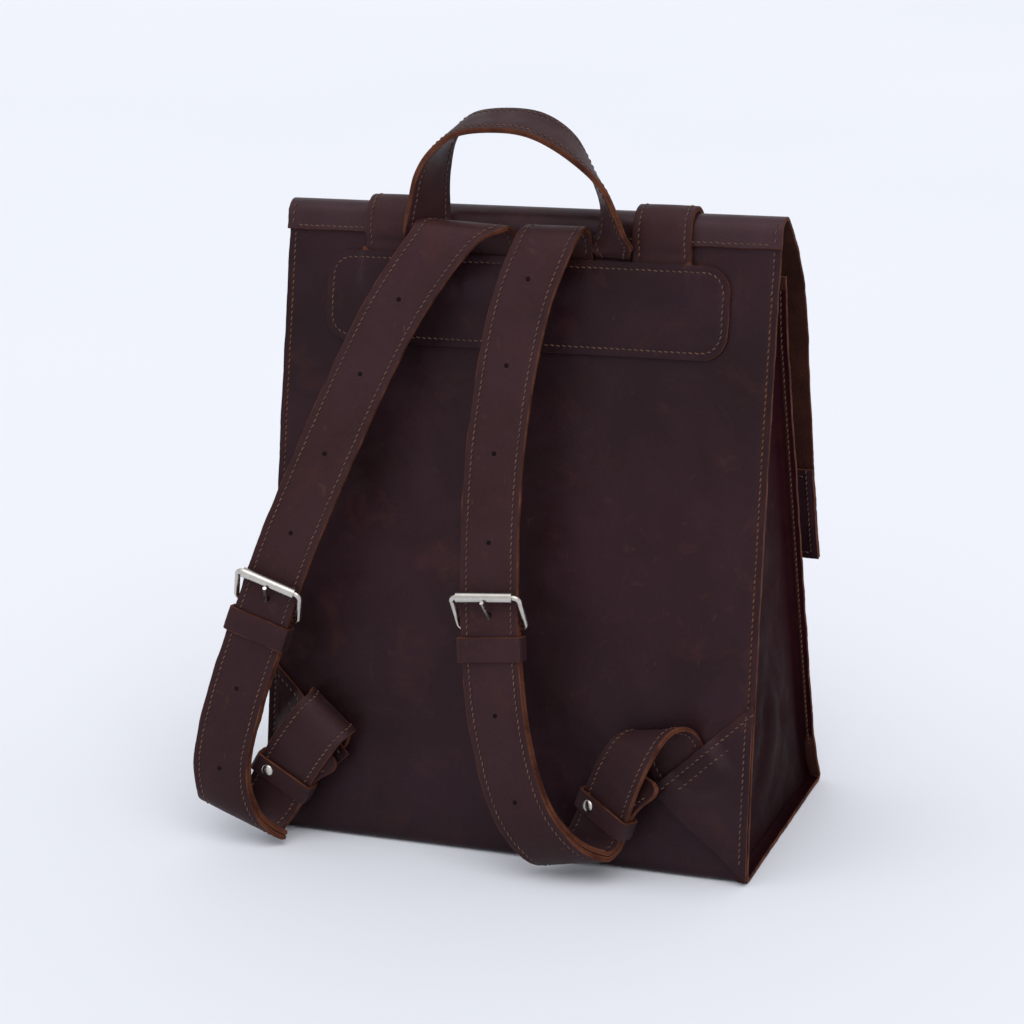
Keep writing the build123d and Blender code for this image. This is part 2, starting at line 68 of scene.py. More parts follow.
# (height above the flap, z) of the undersides of a closure strap and of its tab
CLOSURE_HEIGHTS = [
    (0.1, 372.0), (0.1, 240.0), (2.5, 229.0), (7.35, 209.0), (7.35, 203.0), (6.05, 197.0), (6.05, 170.0),
]
TAB_HEIGHTS = [(2.5, 205.0), (2.5, 178.0), (0.1, 166.0), (0.1, 116.0)]
TAB_HEEL_Z = 206.0
TAB_HEEL_HEIGHT = 7.35
TAB_KEEPER_Z = 186.0
HEEL_HEIGHT = -3.7
STITCH_PITCH = 3.6
STITCH_LENGTH = 2.6
STITCH_LEAN = 0.30
THREAD_RADIUS = 0.38
SEAM_INSET = 4.0

# Stations of a strap's route: x, y, z, turn and dip of its width
RIGHT_ROUTE = [
    (-24, 20.4, 336, 0, 0), (-24, 17.95, 346, 0, 0), (-24, 19.6, 356, 0, 0), (-24, 28.5, 363, 0, 0),
    (-20, 38, 357, 0, 2), (-10, 49, 327, 0, 8), (-4, 63, 285, 0, 4), (-1, 78, 235, 0, 2),
    (-2, 92, 180, 0, 0), (-6, 104, 125, 0, -4), (-14, 113, 82, 0, -12), (-26, 118, 46, 2, -24),
    (-41, 115, 23, 8, -24), (-54, 106, 14, 14, -14), (-63, 98, 22, 20, 0), (-71, 97, 42, 26, 12),
    (-79, 99, 62, 30, 12), (-88, 97, 80, 32, 2), (-96, 89, 87, 28, -15), (-103, 82, 80, 8, -32),
    (-109, 79.5, 68, -10, -42), (-118, 81.4, 56, -11, -45),
]
LEFT_ROUTE = [
    (22.2, 20.4, 336, 0, 0), (22.2, 17.95, 346, 0, 0), (23.1, 19.8, 356, 0, 1), (30.6, 29, 363, 0, 3),
    (42, 38, 357, 0, 9), (66, 50, 322, 0, 22), (86, 64, 280, 0, 22), (105, 80, 232, 0, 21),
    (124, 94, 183, 0, 20), (142, 105, 130, 0, 18), (155, 113, 88, 0, 15), (163, 117, 52, 0, 14),
    (160, 116, 26, 2, 18), (151, 108, 16, 2, 22), (141, 101, 24, 4, 30), (130, 100, 43, 2, 36),
    (119, 101, 60, 0, 38), (109, 98, 74, 0, 40), (104, 90, 79, 0, 42), (108, 82, 77, 4, 43),
    (113, 79.6, 67, 10, 44), (121, 81.4, 56, 11, 45),
]
HANDLE_ROUTE = [
    (53.7, 18.35, 336, 0, 0), (53.7, 16.4, 344, 0, 0), (54.0, 16.6, 347.5, -3, 0),
    (55.0, 23.2, 352.5, -12, 0), (56.6, 25.2, 362, -44, 0), (55.5, 25, 378, -61, -4),
    (52.5, 24.5, 396, -70, -8), (45, 25, 411, -80, -12), (31, 25, 422, -87, -14),
    (8, 25, 425, -90, -14), (-13, 24.5, 422, -93, -14), (-32, 24.5, 411, -102, -12),
    (-46, 24.5, 394, -118, -8), (-54, 25, 376, -122, -4), (-56.0, 25.0, 362, -136, 0),
    (-55.0, 23.2, 352.5, -168, 0), (-53.5, 16.6, 347.5, -177, 0), (-53.2, 16.4, 344, -180, 0),
    (-53.2, 18.35, 336, -180, 0),
]
BUCKLE_PLACES = {"right": 8.6, "left": 8.7}
KEEPER_PLACES = {"right": 8.81, "left": 8.91}
SLIDE_KEEPER_PLACE = 14.9
TAIL_END = 16.2
HOLE_PITCH = 50.0
CORNER_PATCH = [(150.5, 104.0), (94.0, 52.0), (150.5, 2.0)]


# ------------------------------------------------------------------ small maths
def at_level(points, z):
    """The first value of a (value, z) line at a level, or that of its nearer end."""
    for (v0, z0), (v1, z1) in zip(points, points[1:]):
        if min(z0, z1) <= z <= max(z0, z1):
            return v0 + (v1 - v0) * (z - z0) / (z1 - z0)
    return points[0][0] if abs(z - points[0][1]) < abs(z - points[-1][1]) else points[-1][0]


def back_y(z):
    return at_level(OUTLINE[4:], z)


def front_y(z):
    return at_level(OUTLINE[:4], z)


def unit(v):
    return v / np.maximum(np.linalg.norm(v, axis=-1, keepdims=True), 1e-9)


def smoothstep(x, a, b):
    t = np.clip((x - a) / (b - a), 0, 1)
    return t * t * (3 - 2 * t)


def distances(points):
    """How far along a polyline each of its points is."""
    return np.concatenate([[0], np.cumsum(np.linalg.norm(np.diff(points, axis=0), axis=1))])


def waves(seed, wavelength, count=9):
    """A smooth random field of (n, 3) points, about -1 to 1."""
    r = np.random.default_rng(seed)
    k = unit(r.normal(size=(count, 3))) * (2 * math.pi / (wavelength * r.uniform(0.6, 1.6, (count, 1))))
    phase = r.uniform(0, 2 * math.pi, count)
    return lambda p: np.sin(p @ k.T + phase).sum(-1) / math.sqrt(count) * 0.8


def resample(points, step, smooth=0):
    """Evenly spaced points on a polyline, its corners rounded by a moving average."""
    points = np.asarray(points, float)
    s = distances(points)
    count = max(3, int(round(s[-1] / step)) + 1)
    at = np.linspace(0, s[-1], count)
    out = np.stack([np.interp(at, s, points[:, i]) for i in range(points.shape[1])], 1)
    for _ in range(smooth):
        mid = (out[:-2] + 2 * out[1:-1] + out[2:]) / 4
        out = np.concatenate([out[:1], mid, out[-1:]])
    return out


def catmull(stations, us):
    """Rows of a smooth curve through the stations, at places counted in stations."""
    st = np.asarray(stations, float)
    st = np.concatenate([[2 * st[0] - st[1]], st, [2 * st[-1] - st[-2]]])
    us = np.asarray(us, float)
    i = np.clip(us.astype(int), 0, len(stations) - 2)
    f = (us - i)[:, None]
    a, b, c, d = st[i], st[i + 1], st[i + 2], st[i + 3]
    return 0.5 * (2 * b + (c - a) * f + (2 * a - 5 * b + 4 * c - d) * f**2 + (3 * b - a - 3 * c + d) * f**3)


def rounded_box(x, low, high, radius, count, step):
    """A closed loop with rounded corners, given its corners' centres. Count is the points of a corner."""
    pts = []
    for cx, cz, start in ((x, high, 0), (-x, high, 90), (-x, low, 180), (x, low, 270)):
        for k in range(count):
            a = math.radians(start + 90 / (count - 1) * k)
            pts.append((cx + radius * math.cos(a), cz + radius * math.sin(a)))
    pts.append(pts[0])
    return resample(pts, step)


def quads(rows, size, closed=False):
    """Faces between rings of points that follow one another."""
    faces = []
    for i in range(rows if closed else rows - 1):
        a, b = i * size, (i + 1) % rows * size
        faces += [(a + j, a + (j + 1) % size, b + (j + 1) % size, b + j) for j in range(size)]
    return faces


def route_frame(stations, u0, u1, step):
    """Places, directions and slant along part of a strap's route."""
    us = np.linspace(u0, u1, int((u1 - u0) * 40) + 2)
    rows = catmull(stations, us)
    s = distances(rows[:, :3])
    at = np.linspace(0, s[-1], max(3, int(s[-1] / step) + 1))
    us = np.interp(at, s, us)
    rows = catmull(stations, us)
    p = rows[:, :3]
    t = unit(catmull(stations, np.minimum(us + 0.01, len(stations) - 1))[:, :3]
             - catmull(stations, np.maximum(us - 0.01, 0))[:, :3])
    turn, dip = np.radians(rows[:, 3]), np.radians(rows[:, 4])
    w = np.stack([-np.cos(turn) * np.cos(dip), np.sin(turn) * np.cos(dip), -np.sin(dip)], 1)
    n = np.cross(t, w)
    slant = np.linalg.norm(n, axis=1)
    n = n / slant[:, None]
    return {"p": p, "t": t, "w": w, "n": n, "slant": slant, "u": us, "s": at}


def flat_frame(path, x):
    """The same for a strip over a (y, z) path at a fixed x, with its outside to the front."""
    path = np.asarray(path, float)
    p = np.stack([np.full(len(path), x), path[:, 0], path[:, 1]], 1)
    t = unit(np.gradient(p, axis=0))
    w = np.tile([[1.0, 0.0, 0.0]], (len(p), 1))
    n = unit(np.cross(t, w))
    s = distances(p)
    return {"p": p, "t": t, "w": w, "n": n, "slant": np.ones(len(p)), "s": s}


# ------------------------------------------------------------------ materials
class Surface:
    """A procedural material: its shader, and nodes that read the object's own coordinates."""

    def __init__(self, name):
        self.material = bpy.data.materials.new(name)
        self.material.use_nodes = True
        self.tree = self.material.node_tree
        self.tree.nodes.clear()
        self.shader = self.add("ShaderNodeBsdfPrincipled")
        self.add("ShaderNodeOutputMaterial", {"Surface": self.shader.outputs["BSDF"]})
        self.coord = self.add("ShaderNodeTexCoord").outputs["Object"]

    def fill(self, socket, value):
        """Links a socket, or sets it to a number, a colour or a vector."""
        if isinstance(value, bpy.types.NodeSocket):
            self.tree.links.new(value, socket)
        elif isinstance(value, tuple) and socket.type == "RGBA":
            socket.default_value = (*value, 1)
        else:
            socket.default_value = value

    def add(self, kind, sockets=(), **settings):
        node = self.tree.nodes.new(kind)
        for key, value in settings.items():
            setattr(node, key, value)
        for key, value in dict(sockets).items():
            self.fill(node.inputs[key], value)
        return node

    def finish(self, sockets):
        for key, value in sockets.items():
            self.fill(self.shader.inputs[key], value)
        return self.material

    def noise(self, scale, detail=3.0, rough=0.55, distortion=0.0, coord=None):
        sockets = {"Scale": scale, "Detail": detail, "Roughness": rough, "Distortion": distortion}
        sockets["Vector"] = coord or self.coord
        return self.add("ShaderNodeTexNoise", sockets).outputs["Fac"]

    def ramp(self, value, *stops):
        """A colour ramp with stops of (place, colour or grey)."""
        node = self.add("ShaderNodeValToRGB", {"Fac": value})
        e = node.color_ramp.elements
        while len(e) < len(stops):
            e.new(0.5)
        for item, (pos, colour) in zip(e, stops):
            item.position = pos
            item.color = (*colour, 1) if isinstance(colour, tuple) else (colour, colour, colour, 1)
        return node.outputs["Color"]

    def mix(self, fac, a, b, blend="MIX"):
        node = self.add("ShaderNodeMix", data_type="RGBA", blend_type=blend)
        sockets = [socket for socket in node.inputs if socket.type in ("VALUE", "RGBA") and socket.enabled]
        for socket, value in zip([sockets[0], sockets[-2], sockets[-1]], (fac, a, b)):
            self.fill(socket, value)
        return [socket for socket in node.outputs if socket.enabled][0]

    def math(self, operation, a, b=0.0):
        node = self.add("ShaderNodeMath", operation=operation)
        self.fill(node.inputs[0], a)
        self.fill(node.inputs[1], b)
        return node.outputs[0]

    def bump(self, height, distance, strength, before=None):
        sockets = {"Height": height, "Distance": distance, "Strength": strength}
        if before is not None:
            sockets["Normal"] = before
        return self.add("ShaderNodeBump", sockets).outputs["Normal"]


SCUFF_COLOUR = (0.115, 0.062, 0.050)
RUBBED_COLOUR = (0.105, 0.050, 0.034)
# (z in metres, brightness): painted shade by height, darker near the floor and about the back patch; the even
# ramp is lighter at the top as a painted highlight
EVEN_PAINTED_SHADING = [(0.0, 0.62), (0.20, 1.0), (0.32, 0.86), (0.36, 1.10)]
PANEL_PAINTED_SHADING = [(0.0, 0.52), (0.20, 1.0), (0.30, 0.66), (0.36, 0.95)]


def leather(name, deep, veil, red, rough=0.44, worn=0.5, gloss=0.24, sheen=0.02, tone=EVEN_PAINTED_SHADING):
    """Pull-up leather: a dark ground, a greyish veil in clouds, redder blotches and light scuffs."""
    m = Surface(name)
    colour = m.mix(m.ramp(m.noise(11.0, 4.0, 0.6, 0.4), (0.36, 0.0), (0.66, 1.0)), deep, veil)
    blotch = m.ramp(m.noise(38.0, 5.0, 0.65, 0.6), (0.55, 0.0), (0.74, 1.0))
    colour = m.mix(m.math("MULTIPLY", blotch, 0.55), colour, red)
    fine = m.ramp(m.noise(520.0, 3.0, 0.6), (0.3, 0.80), (0.7, 1.2))
    colour = m.mix(0.55, colour, fine, "MULTIPLY")
    # scuffs: short light strokes in two directions, and small rubbed marks
    for turn, shade in ((0.5, 0.55), (-0.9, 0.4)):
        stroke = {"Vector": m.coord, "Rotation": (turn, 0.3, turn), "Scale": (1.0, 1.0, 0.06)}
        along = m.add("ShaderNodeMapping", stroke).outputs["Vector"]
        line = m.ramp(m.noise(420.0, 2.0, 0.5, 0.3, along), (0.70, 0.0), (0.76, 1.0))
        where = m.ramp(m.noise(20.0 + 6 * turn, 2.0), (0.56, 0.0), (0.70, 1.0))
        scuff = m.math("MULTIPLY", m.math("MULTIPLY", line, where), worn * shade)
        colour = m.mix(scuff, colour, SCUFF_COLOUR)
    marks = m.ramp(m.noise(110.0, 3.0, 0.6, 0.5), (0.66, 0.0), (0.78, 1.0))
    colour = m.mix(m.math("MULTIPLY", marks, 0.32 * worn), colour, RUBBED_COLOUR)
    # painted shade by height: the colour is multiplied by a ramp over the object's z
    height = m.add("ShaderNodeSeparateXYZ", {"Vector": m.coord}).outputs["Z"]
    colour = m.mix(1.0, colour, m.ramp(height, *tone), "MULTIPLY")
    cells = m.add("ShaderNodeTexVoronoi", {"Vector": m.coord, "Scale": 950.0}, feature="SMOOTH_F1")
    # hairlines run where a smooth noise crosses its middle value
    off_middle = m.math("ABSOLUTE", m.math("SUBTRACT", m.noise(60.0, 2.0, 0.5, 0.8), 0.5))
    normal = m.bump(cells.outputs["Distance"], 0.00022, 0.30)
    normal = m.bump(m.noise(300.0, 4.0, 0.65), 0.0005, 0.22, normal)
    normal = m.bump(m.ramp(off_middle, (0.0, 1.0), (0.03, 0.0)), 0.00025, -0.16, normal)
    normal = m.bump(m.noise(20.0, 3.0, 0.5), 0.006, 0.20, normal)
    return m.finish({
        "Base Color": colour,
        "Roughness": m.ramp(m.noise(60.0, 4.0, 0.6), (0.3, rough - 0.07), (0.7, rough + 0.10)),
        "Specular IOR Level": gloss,
        "Specular Tint": (0.96, 0.72, 0.80),
        "Sheen Weight": sheen,
        "Sheen Roughness": 0.45,
        "Sheen Tint": (0.80, 0.70, 0.86),
        "Normal": normal,
    })


def raw_edge(name, dark, light):
    """Undyed, fibrous leather: cut edges and the flesh side."""
    m = Surface(name)
    fibre = m.noise(900.0, 4.0, 0.7)
    colour = m.mix(m.ramp(m.noise(70.0, 3.0), (0.35, 0.0), (0.65, 1.0)), dark, light)
    colour = m.mix(0.6, colour, m.ramp(fibre, (0.3, 0.55), (0.7, 1.35)), "MULTIPLY")
    normal = m.bump(fibre, 0.0006, 0.7)
    return m.finish({"Base Color": colour, "Roughness": 0.85, "Specular IOR Level": 0.12, "Normal": normal})


def thread(name, dark, light):
    m = Surface(name)
    colour = m.mix(m.ramp(m.noise(150.0, 2.0), (0.35, 0.0), (0.65, 1.0)), dark, light)
    normal = m.bump(m.noise(2600.0, 2.0), 0.0003, 0.6)
    return m.finish({"Base Color": colour, "Roughness": 0.62, "Normal": normal})


def metal(name, colour, rough):
    """Plated metal, a little worn and a little uneven in its polish."""
    m = Surface(name)
    wear = m.noise(240.0, 4.0, 0.6)
    dull = tuple(c * 0.86 for c in colour)
    return m.finish({
        "Base Color": m.mix(m.ramp(wear, (0.35, 0.0), (0.7, 1.0)), colour, dull),
        "Metallic": 1.0,
        "Roughness": m.ramp(wear, (0.3, rough), (0.75, rough + 0.14)),
        "Normal": m.bump(m.noise(700.0, 2.0), 0.0001, 0.12),
    })


def shadow_dark(name):
    """The inside of a punched hole."""
    m = Surface(name)
    colour = m.ramp(m.noise(800.0, 2.0), (0.3, (0.006, 0.003, 0.003)), (0.7, (0.014, 0.007, 0.006)))
    return m.finish({"Base Color": colour, "Roughness": 0.9, "Specular IOR Level": 0.05})


# the panel's leather takes the panel ramp of painted shade by height
GRAIN = leather(
    "leather_panel", (0.0125, 0.0032, 0.0040), (0.0240, 0.0080, 0.0124), (0.046, 0.0130, 0.0100),
    tone=PANEL_PAINTED_SHADING)
GRAIN_SIDE = leather(
    "leather_side", (0.0140, 0.0026, 0.0036), (0.024, 0.0052, 0.0080), (0.036, 0.0085, 0.0062),
    rough=0.60, worn=0.4, gloss=0.02, sheen=0.0)
# painted highlight: the flap's leather is a lighter copy of the panel's, standing in for the sheen on the
# flap's top
GRAIN_FLAP_PAINTED_LIGHT = leather(
    "leather_flap_painted_highlight", (0.0170, 0.0052, 0.0058), (0.0300, 0.0108, 0.0148), (0.052, 0.0155, 0.0120),
    rough=0.38, worn=0.5, gloss=0.36)
GRAIN_STRAP = leather(
    "leather_strap", (0.025, 0.0088, 0.0088), (0.036, 0.0142, 0.0168), (0.047, 0.0155, 0.0112),
    rough=0.50, worn=0.8, gloss=0.19)
FLESH = raw_edge("leather_flesh_side", (0.030, 0.0085, 0.0058), (0.046, 0.0135, 0.0085))
EDGE = raw_edge("leather_raw_edge", (0.050, 0.0145, 0.0080), (0.115, 0.038, 0.020))
THREAD = thread("waxed_thread", (0.056, 0.023, 0.012), (0.120, 0.054, 0.026))
NICKEL = metal("polished_nickel", (0.60, 0.565, 0.52), 0.16)
STEEL = metal("brushed_nickel", (0.52, 0.49, 0.455), 0.30)
DARK = shadow_dark("hole_shadow")
SHEET = [GRAIN, FLESH, EDGE]
STRAPS = [GRAIN_STRAP, GRAIN_STRAP, EDGE]


# ------------------------------------------------------------------ mesh builders
def place(obj, where, slot, *cad):
    """Rides on a body, or, given two as (a, b, start, end), stays where it is with its transform baked into
    its mesh.
    """
    if isinstance(where, str):
        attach(obj, where)
    else:
        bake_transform(obj)
    if cad:
        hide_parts(*cad)


def piece(name, parts, materials, where, slot, *cad, sharp=38.0):
    """A named object from (verts, faces, material indices), in millimetres, placed on its body."""
    verts, faces, indices = parts
    mesh = bpy.data.meshes.new(name)
    mesh.from_pydata((np.asarray(verts) * MM).tolist(), [], faces)
    for m in materials:
        mesh.materials.append(m)
    mesh.polygons.foreach_set("material_index", np.asarray(indices, np.int32))
    bm = bmesh.new()
    bm.from_mesh(mesh)
    bmesh.ops.recalc_face_normals(bm, faces=bm.faces)
    bm.to_mesh(mesh)
    bm.free()
    mesh.polygons.foreach_set("use_smooth", np.ones(len(mesh.polygons), bool))
    mesh.set_sharp_from_angle(angle=math.radians(sharp))
    obj = bpy.data.objects.new(name, mesh)
    bpy.context.scene.collection.objects.link(obj)
    place(obj, where, slot, *cad)


def join_parts(parts):
    """One (verts, faces, indices) from several."""
    verts, faces, indices, base = [], [], [], 0
    for v, f, m in parts:
        verts.append(v)
        faces += [tuple(i + base for i in face) for face in f]
        indices += list(m)
        base += len(v)
    return np.concatenate(verts), faces, indices


fray = waves(5, 2.2)
fray_slow = waves(6, 17.0)


def band_parts(fr, width, lo, hi, crown=0.25, depth=0.28, field=None, closed=False, seam=True):
    """A strip of leather along a frame, between two heights, with a groove along its stitches.

    Its faces get index 0 above and 1 below, and its cut edges 2.
    """
    p, w, n, slant = fr["p"], fr["w"], fr["n"], fr["slant"]
    count = len(p)
    half = np.broadcast_to(np.asarray(width, float) / 2, (count,)) / slant
    lo = np.broadcast_to(np.asarray(lo, float), (count,))
    hi = np.broadcast_to(np.asarray(hi, float), (count,))
    reach = np.minimum(1.0, half * slant / 9.5)[:, None] / slant[:, None]
    near = np.array([0.5, 1.5, 2.6, 3.3, 4.0, 4.7, 5.5, 7.0])
    border = near[-1]
    inner = max(3, int((np.median(half * slant) - border) / 2.5))
    middle = np.linspace(-1, 1, inner + 2)[1:-1]
    core = half[:, None] - border * reach
    xs = np.concatenate([-half[:, None] + near * reach, middle * core, half[:, None] - near[::-1] * reach], 1)
    edge = (half[:, None] - np.abs(xs)) * slant[:, None]
    dip = depth * np.exp(-(((edge - SEAM_INSET) / 0.8) ** 2)) if depth else 0.0
    rise = crown * (1 - (xs / half[:, None]) ** 2)
    top = hi[:, None] + rise - dip
    under = lo[:, None] + dip * 0.6 + np.zeros_like(xs)
    thick = (hi - lo)[:, None]
    mid = (hi + lo)[:, None] / 2
    notch = np.array([0.34, 0.05, 0.0, 0.3 if seam else 0.0, 0.0, 0.05, 0.34])
    level = np.concatenate([
        hi[:, None] - 0.12, hi[:, None] - 0.50, mid + 0.07 * thick, mid, mid - 0.07 * thick,
        lo[:, None] + 0.50, lo[:, None] + 0.12], 1)
    side_x = half[:, None] - notch * reach
    loop_x = np.concatenate([xs, side_x, xs[:, ::-1], -side_x[:, ::-1]], 1)
    loop_z = np.concatenate([top, level, under[:, ::-1], level[:, ::-1]], 1)
    pts = p[:, None, :] + w[:, None, :] * loop_x[:, :, None]
    m = xs.shape[1]
    ragged = fray(pts) * 0.07 + fray_slow(pts) * 0.22
    side = np.zeros(loop_x.shape[1])
    side[m:m + 7] = 1
    side[-7:] = -1
    pts = pts + w[:, None, :] * (ragged * side)[:, :, None]
    if field is not None:
        loop_z = loop_z + field(pts)
    pts = pts + n[:, None, :] * loop_z[:, :, None]
    size = loop_x.shape[1]
    verts = pts.reshape(-1, 3)
    faces = quads(count, size, closed)
    kinds = [0] * (m - 1) + [2] * 8 + [1] * (m - 1) + [2] * 8
    indices = kinds * (len(faces) // size)
    if not closed:
        for a in (0, (count - 1) * size):
            # close the end with quads between the two faces and a fan at each side
            for j in range(m - 1):
                faces.append((a + j, a + j + 1, a + 2 * m + 5 - j, a + 2 * m + 6 - j))
                indices.append(2)
            faces.append(tuple(a + j for j in range(m - 1, m + 8)))
            faces.append(tuple(a + j for j in [*range(2 * m + 6, size), 0]))
            indices += [2, 2]
    return verts, faces, indices


def tip(fr, width, length, square=0.35):
    """A strip's width along its frame, rounded off at its far end."""
    t = np.clip((fr["s"][-1] - fr["s"]) / length, 0, 1)
    return width * (square + (1 - square) * np.sqrt(1 - (1 - t) ** 2))


def track(fr, side, width, height, field=None, cut=(0, 0)):
    """A line for stitches on a strip: along one edge, at a height above the frame."""
    half = np.asarray(width, float) / 2
    x = side * (half - SEAM_INSET) / fr["slant"]
    p = fr["p"] + fr["w"] * np.broadcast_to(x, (len(fr["p"]),))[:, None]
    z = np.broadcast_to(np.asarray(height, float), (len(p),))
    if field is not None:
        z = z + field(p)
    p = p + fr["n"] * z[:, None]
    s = fr["s"]
    keep = (s >= cut[0]) & (s <= s[-1] - cut[1])
    return p[keep], fr["n"][keep]


def both_faces(fr, width, top, under, field, cut):
    """Stitch tracks along both edges of a strip, on its upper and its lower face."""
    tracks = []
    for side in (1, -1):
        tracks.append(track(fr, side, width, top, field, cut))
        p, n = track(fr, side, width, under, field, cut)
        tracks.append((p, -n))
    return tracks


def stitches(tracks):
    """Thread stitches along lines, each a short arched bar that dips into the leather."""
    parts = []
    ring = np.linspace(0, 2 * math.pi, 6, endpoint=False)
    one = quads(5, 6) + [tuple(range(6)), tuple(range(29, 23, -1))]
    along = np.array([-1.0, -0.72, 0.0, 0.72, 1.0])
    fat = np.array([0.45, 0.95, 1.0, 0.95, 0.45])
    lift = np.array([-0.35, 0.02, 0.18, 0.02, -0.35])
    for p, n in tracks:
        if len(p) < 3:
            continue
        s = distances(p)
        count = int(s[-1] / STITCH_PITCH)
        if count < 1:
            continue
        centres = (np.arange(count) + 0.5) * (s[-1] / count)
        at = centres[:, None] + along[None, :] * STITCH_LENGTH / 2
        at = np.clip(at, 0, s[-1])
        pos = np.stack([np.interp(at, s, p[:, k]) for k in range(3)], -1)
        nor = unit(np.stack([np.interp(at, s, n[:, k]) for k in range(3)], -1))
        tan = unit(np.gradient(pos, axis=1))
        across = unit(np.cross(tan, nor))
        jitter = rng.normal(0, 0.07, (count, 1, 1))
        lean = STITCH_LEAN * along[None, :, None]
        pos = pos + across * (lean + jitter) + nor * lift[None, :, None]
        r = THREAD_RADIUS * fat[None, :, None, None]
        rings = pos[:, :, None, :] + r * (
            across[:, :, None, :] * np.cos(ring)[None, None, :, None]
            + nor[:, :, None, :] * np.sin(ring)[None, None, :, None] * 0.85)
        faces = [tuple(o + v for v in face) for o in range(0, count * 30, 30) for face in one]
        parts.append((rings.reshape(-1, 3), faces, [0] * len(faces)))
    return join_parts(parts)


def stitch_object(name, tracks, where, slot):
    piece(name, stitches(tracks), [THREAD], where, slot, sharp=60)


def shell_parts(grid, thickness, normals):
    """A sheet of leather below a grid of points on its grain face, with its four edges closed."""
    g = np.asarray(grid, float)
    rows, cols = g.shape[:2]
    loop = [(0, j) for j in range(cols)] + [(i, cols - 1) for i in range(1, rows)]
    loop += [(rows - 1, j) for j in range(cols - 2, -1, -1)] + [(i, 0) for i in range(rows - 2, 0, -1)]
    li, lj = np.array(loop).T
    rim = g[li, lj].copy()
    rim_n = normals[li, lj]
    centre_i = np.clip(li, 1, rows - 2)
    centre_j = np.clip(lj, 1, cols - 2)
    inward = unit(g[centre_i, centre_j] - rim)
    rag = (fray(rim) * 0.10 + fray_slow(rim) * 0.2)[:, None] * inward
    outer = g.copy()
    outer[li, lj] = rim + inward * 0.35 + rag
    inner = g - normals * thickness
    inner[li, lj] = rim + inward * 0.35 - rim_n * thickness + rag
    ring1 = rim - rim_n * thickness * 0.28 + rag
    ring2 = rim - rim_n * thickness * 0.72 + rag
    total = rows * cols
    verts = np.concatenate([outer.reshape(-1, 3), inner.reshape(-1, 3), ring1, ring2])
    faces, indices = [], []
    for i in range(rows - 1):
        for j in range(cols - 1):
            a, b, c, d = i * cols + j, i * cols + j + 1, (i + 1) * cols + j + 1, (i + 1) * cols + j
            faces.append((a, b, c, d))
            faces.append((d + total, c + total, b + total, a + total))
            indices += [0, 1]
    base1, base2, size = 2 * total, 2 * total + len(loop), len(loop)
    for k in range(size):
        q = (k + 1) % size
        a, b = li[k] * cols + lj[k], li[q] * cols + lj[q]
        faces.append((a, base1 + k, base1 + q, b))
        faces.append((base1 + k, base2 + k, base2 + q, base1 + q))
        faces.append((base2 + k, a + total, b + total, base2 + q))
        indices += [2, 2, 2]
    return verts, [tuple(int(v) for v in f) for f in faces], indices


def grid_line(grid, normals, i=None, j=None, lift=0.0):
    """A row or column of a grid as a stitch track."""
    p = grid[i] if i is not None else grid[:, j]
    n = normals[i] if i is not None else normals[:, j]
    return p + n * lift, n


def grid_normals(grid):
    return unit(np.cross(np.gradient(grid, axis=0), np.gradient(grid, axis=1)))


def outward(grid, row, col, axis, sign=1):
    """A grid's normals, turned so that at one place they point along an axis."""
    normals = grid_normals(grid)
    return normals if normals[row, col, axis] * sign > 0 else -normals


def spread(half, step=4.0):
    """Positions across a panel, with extra ones about its seams."""
    near = [0.0, 1.2, SEAM_INSET - 1.0, SEAM_INSET, SEAM_INSET + 1.0, SEAM_INSET + 3.0]
    inner = np.linspace(-(half - 9), half - 9, int(2 * (half - 9) / step))
    return np.array([-half + d for d in near] + list(inner) + [half - d for d in near[::-1]])


def seam_dip(edge, inset=SEAM_INSET):
    """The shallow groove that a line of stitches pulls into a panel."""
    return -0.35 * np.exp(-(((edge - inset) / 0.9) ** 2))


# ------------------------------------------------------------------ the bag's body
sag = waves(21, 150.0)
sag_fine = waves(22, 46.0)


def back_sag(x, z):
    """How far the back panel swells out; nothing where other leather lies on it."""
    p = np.stack([x, np.zeros_like(x), z], -1)
    room = smoothstep(150 - np.abs(x), 2, 38) * smoothstep(z, 4, 60) * (1 - smoothstep(z, 235, 285))
    corner = 1 - smoothstep(np.abs(x), 70, 92) * (1 - smoothstep(z, 105, 135))
    return (1.5 * sag(p) + 0.45 * sag_fine(p) + 0.6) * room * corner


def front_sag(x, z):
    p = np.stack([x, np.full_like(x, 300.0), z], -1)
    room = smoothstep(150 - np.abs(x), 2, 38) * smoothstep(z, 20, 70) * (1 - smoothstep(z, 300, 335))
    near_magnet = smoothstep(np.hypot(np.abs(x) - CLOSURE_X, z - 119.5), 9, 26)
    return (1.3 * sag(p) + 0.4 * sag_fine(p)) * room * near_magnet


front_line = [(front_y(z), z) for z in (337.6, 300.0, 39.0)] + [(-72.5, 27.0), (-79.0, 13.5), (-85.6, 1.6)]
back_line = [(85.6, 1.6), (78.7, 50.0), (59.4, 150.0), (37.3, 250.0), (back_y(360.8), 360.8)]
body_path = resample(front_line + [(-83.5, 0.15), (83.5, 0.15)] + back_line, 2.6, 3)
body_x = spread(HALF_WIDTH)
SEAM_COLUMN = 3  # where spread() puts the stitches
grid = np.zeros((len(body_path), len(body_x), 3))
grid[..., 0] = body_x[None, :]
grid[..., 1] = body_path[:, None, 0]
grid[..., 2] = body_path[:, None, 1]
body_n = grid_normals(grid)
edge_gap = HALF_WIDTH - np.abs(grid[..., 0])
is_back = (grid[..., 1] > 0) & (grid[..., 2] > 1.5)
is_front = (grid[..., 1] <= 0) & (grid[..., 2] > 1.5)
swell = np.where(is_back, back_sag(grid[..., 0], grid[..., 2]), 0)
